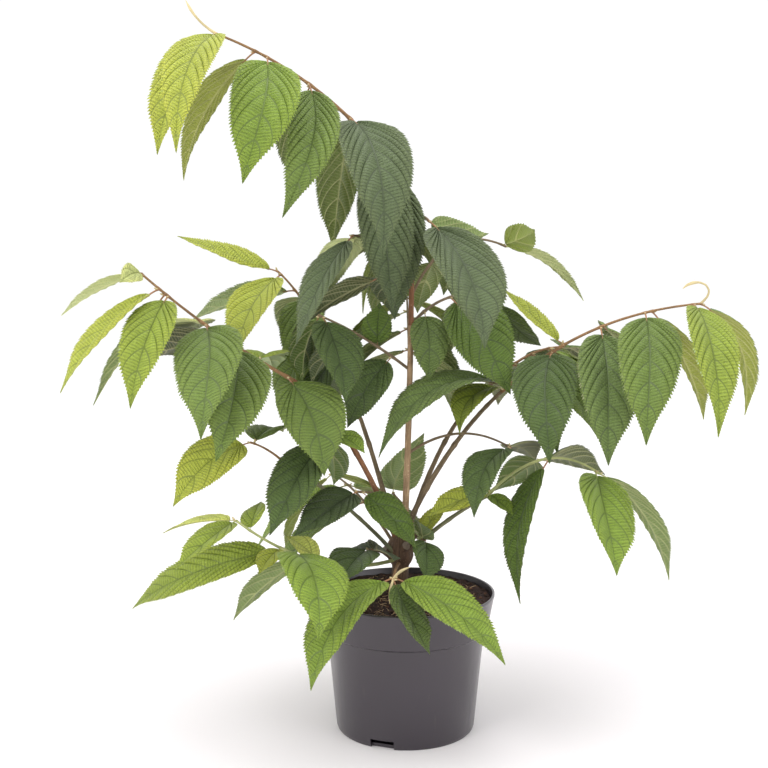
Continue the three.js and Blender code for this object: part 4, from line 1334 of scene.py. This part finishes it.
# floor, light and camera
studio = {
    # the floor's near and far colours and the reach of its fade are painted light that evens out the lamps'
    # falloff
    "floorReach": 60.0, "floorNear": (234, 230, 232), "floorFar": (255, 255, 255), "floorFade": (0.3, 2.2),
    "worldColour": (1.0, 1.0, 1.0), "worldStrength": 1.04,
    # name, place, aims at, size across and up, watts, colour
    "lights": [
        ("keyLeft", (-1.5, -1.3, 1.5), (0, 0, 0.3), (1.3, 1.6), 27, (1.0, 0.99, 0.97)),
        ("fillRight", (1.6, -1.1, 1.1), (0, 0, 0.3), (1.3, 1.6), 12, (0.98, 0.99, 1.0)),
        ("topSoft", (0.1, -0.1, 2.2), (0, 0, 0.2), (1.8, 1.8), 22, (1.0, 1.0, 1.0)),
    ],
}
camera = {"place": (-0.0200, -1.073, 0.440), "pitch": 83.60, "lens": 55.73, "sensor": 36.0}


def makeStudio():
    # a wide paper floor whose colour is painted light: greyer near the pot, where the lamps add most light,
    # and white far out, where it meets the white around it and the lamps add little, so it shows evenly white
    mesh, reach = bpy.data.meshes.new("floor"), studio["floorReach"]
    points = [(x * reach, y * reach, 0) for x, y in ((-1, -1), (1, -1), (1, 1), (-1, 1))] + [(0, 0, 0)]
    mesh.from_pydata(points, [], [(0, 1, 4), (1, 2, 4), (2, 3, 4), (3, 0, 4)])
    floor = bpy.data.objects.new("floor", mesh)
    bpy.context.scene.collection.objects.link(floor)
    material, nodes, links, shader = newMaterial("paperFloor")
    place = addNode(nodes, "TexCoord").outputs["Object"]
    away = addNode(nodes, "VectorMath", operation="LENGTH")
    links.new(place, away.inputs[0])
    # painted light: the floor's colour brightens with distance from the pot, making up for the lamps' falloff
    far = remap(nodes, links, away.outputs["Value"], *studio["floorFade"], 0, 1)
    skin = mixColours(nodes, links, far, linear(*studio["floorNear"]), linear(*studio["floorFar"]))
    cloud = noiseNode(nodes, links, place, 3, 2)
    skin = mixColours(nodes, links, remap(nodes, links, cloud, 0.3, 0.7, 0.98, 1.0), (0.0, 0.0, 0.0), skin)
    links.new(skin, shader.inputs["Base Color"])
    shader.inputs["Roughness"].default_value = 0.6
    mesh.materials.append(material)
    world = bpy.context.scene.world or bpy.data.worlds.new("studio")
    bpy.context.scene.world = world
    world.use_nodes = True
    background = world.node_tree.nodes["Background"]
    background.inputs["Color"].default_value = (*studio["worldColour"], 1)
    background.inputs["Strength"].default_value = studio["worldStrength"]
    for name, place, aim, size, watts, colour in studio["lights"]:
        data = bpy.data.lights.new(name, "AREA")
        data.shape, data.size, data.size_y = "RECTANGLE", size[0], size[1]
        data.energy, data.color = watts, colour
        lamp = bpy.data.objects.new(name, data)
        lamp.location = place
        lamp.rotation_euler = (Vector(aim) - Vector(place)).to_track_quat("-Z", "Y").to_euler()
        bpy.context.scene.collection.objects.link(lamp)


def makeCamera():
    data = bpy.data.cameras.new("camera")
    data.sensor_width, data.lens, data.clip_start = camera["sensor"], camera["lens"], 0.05
    made = bpy.data.objects.new("camera", data)
    made.location = camera["place"]
    made.rotation_euler = (math.radians(camera["pitch"]), 0, 0)
    bpy.context.scene.collection.objects.link(made)
    bpy.context.scene.camera = made


report("studio")
makeStudio()
makeCamera()
bpy.context.scene.view_settings.view_transform = "Standard"
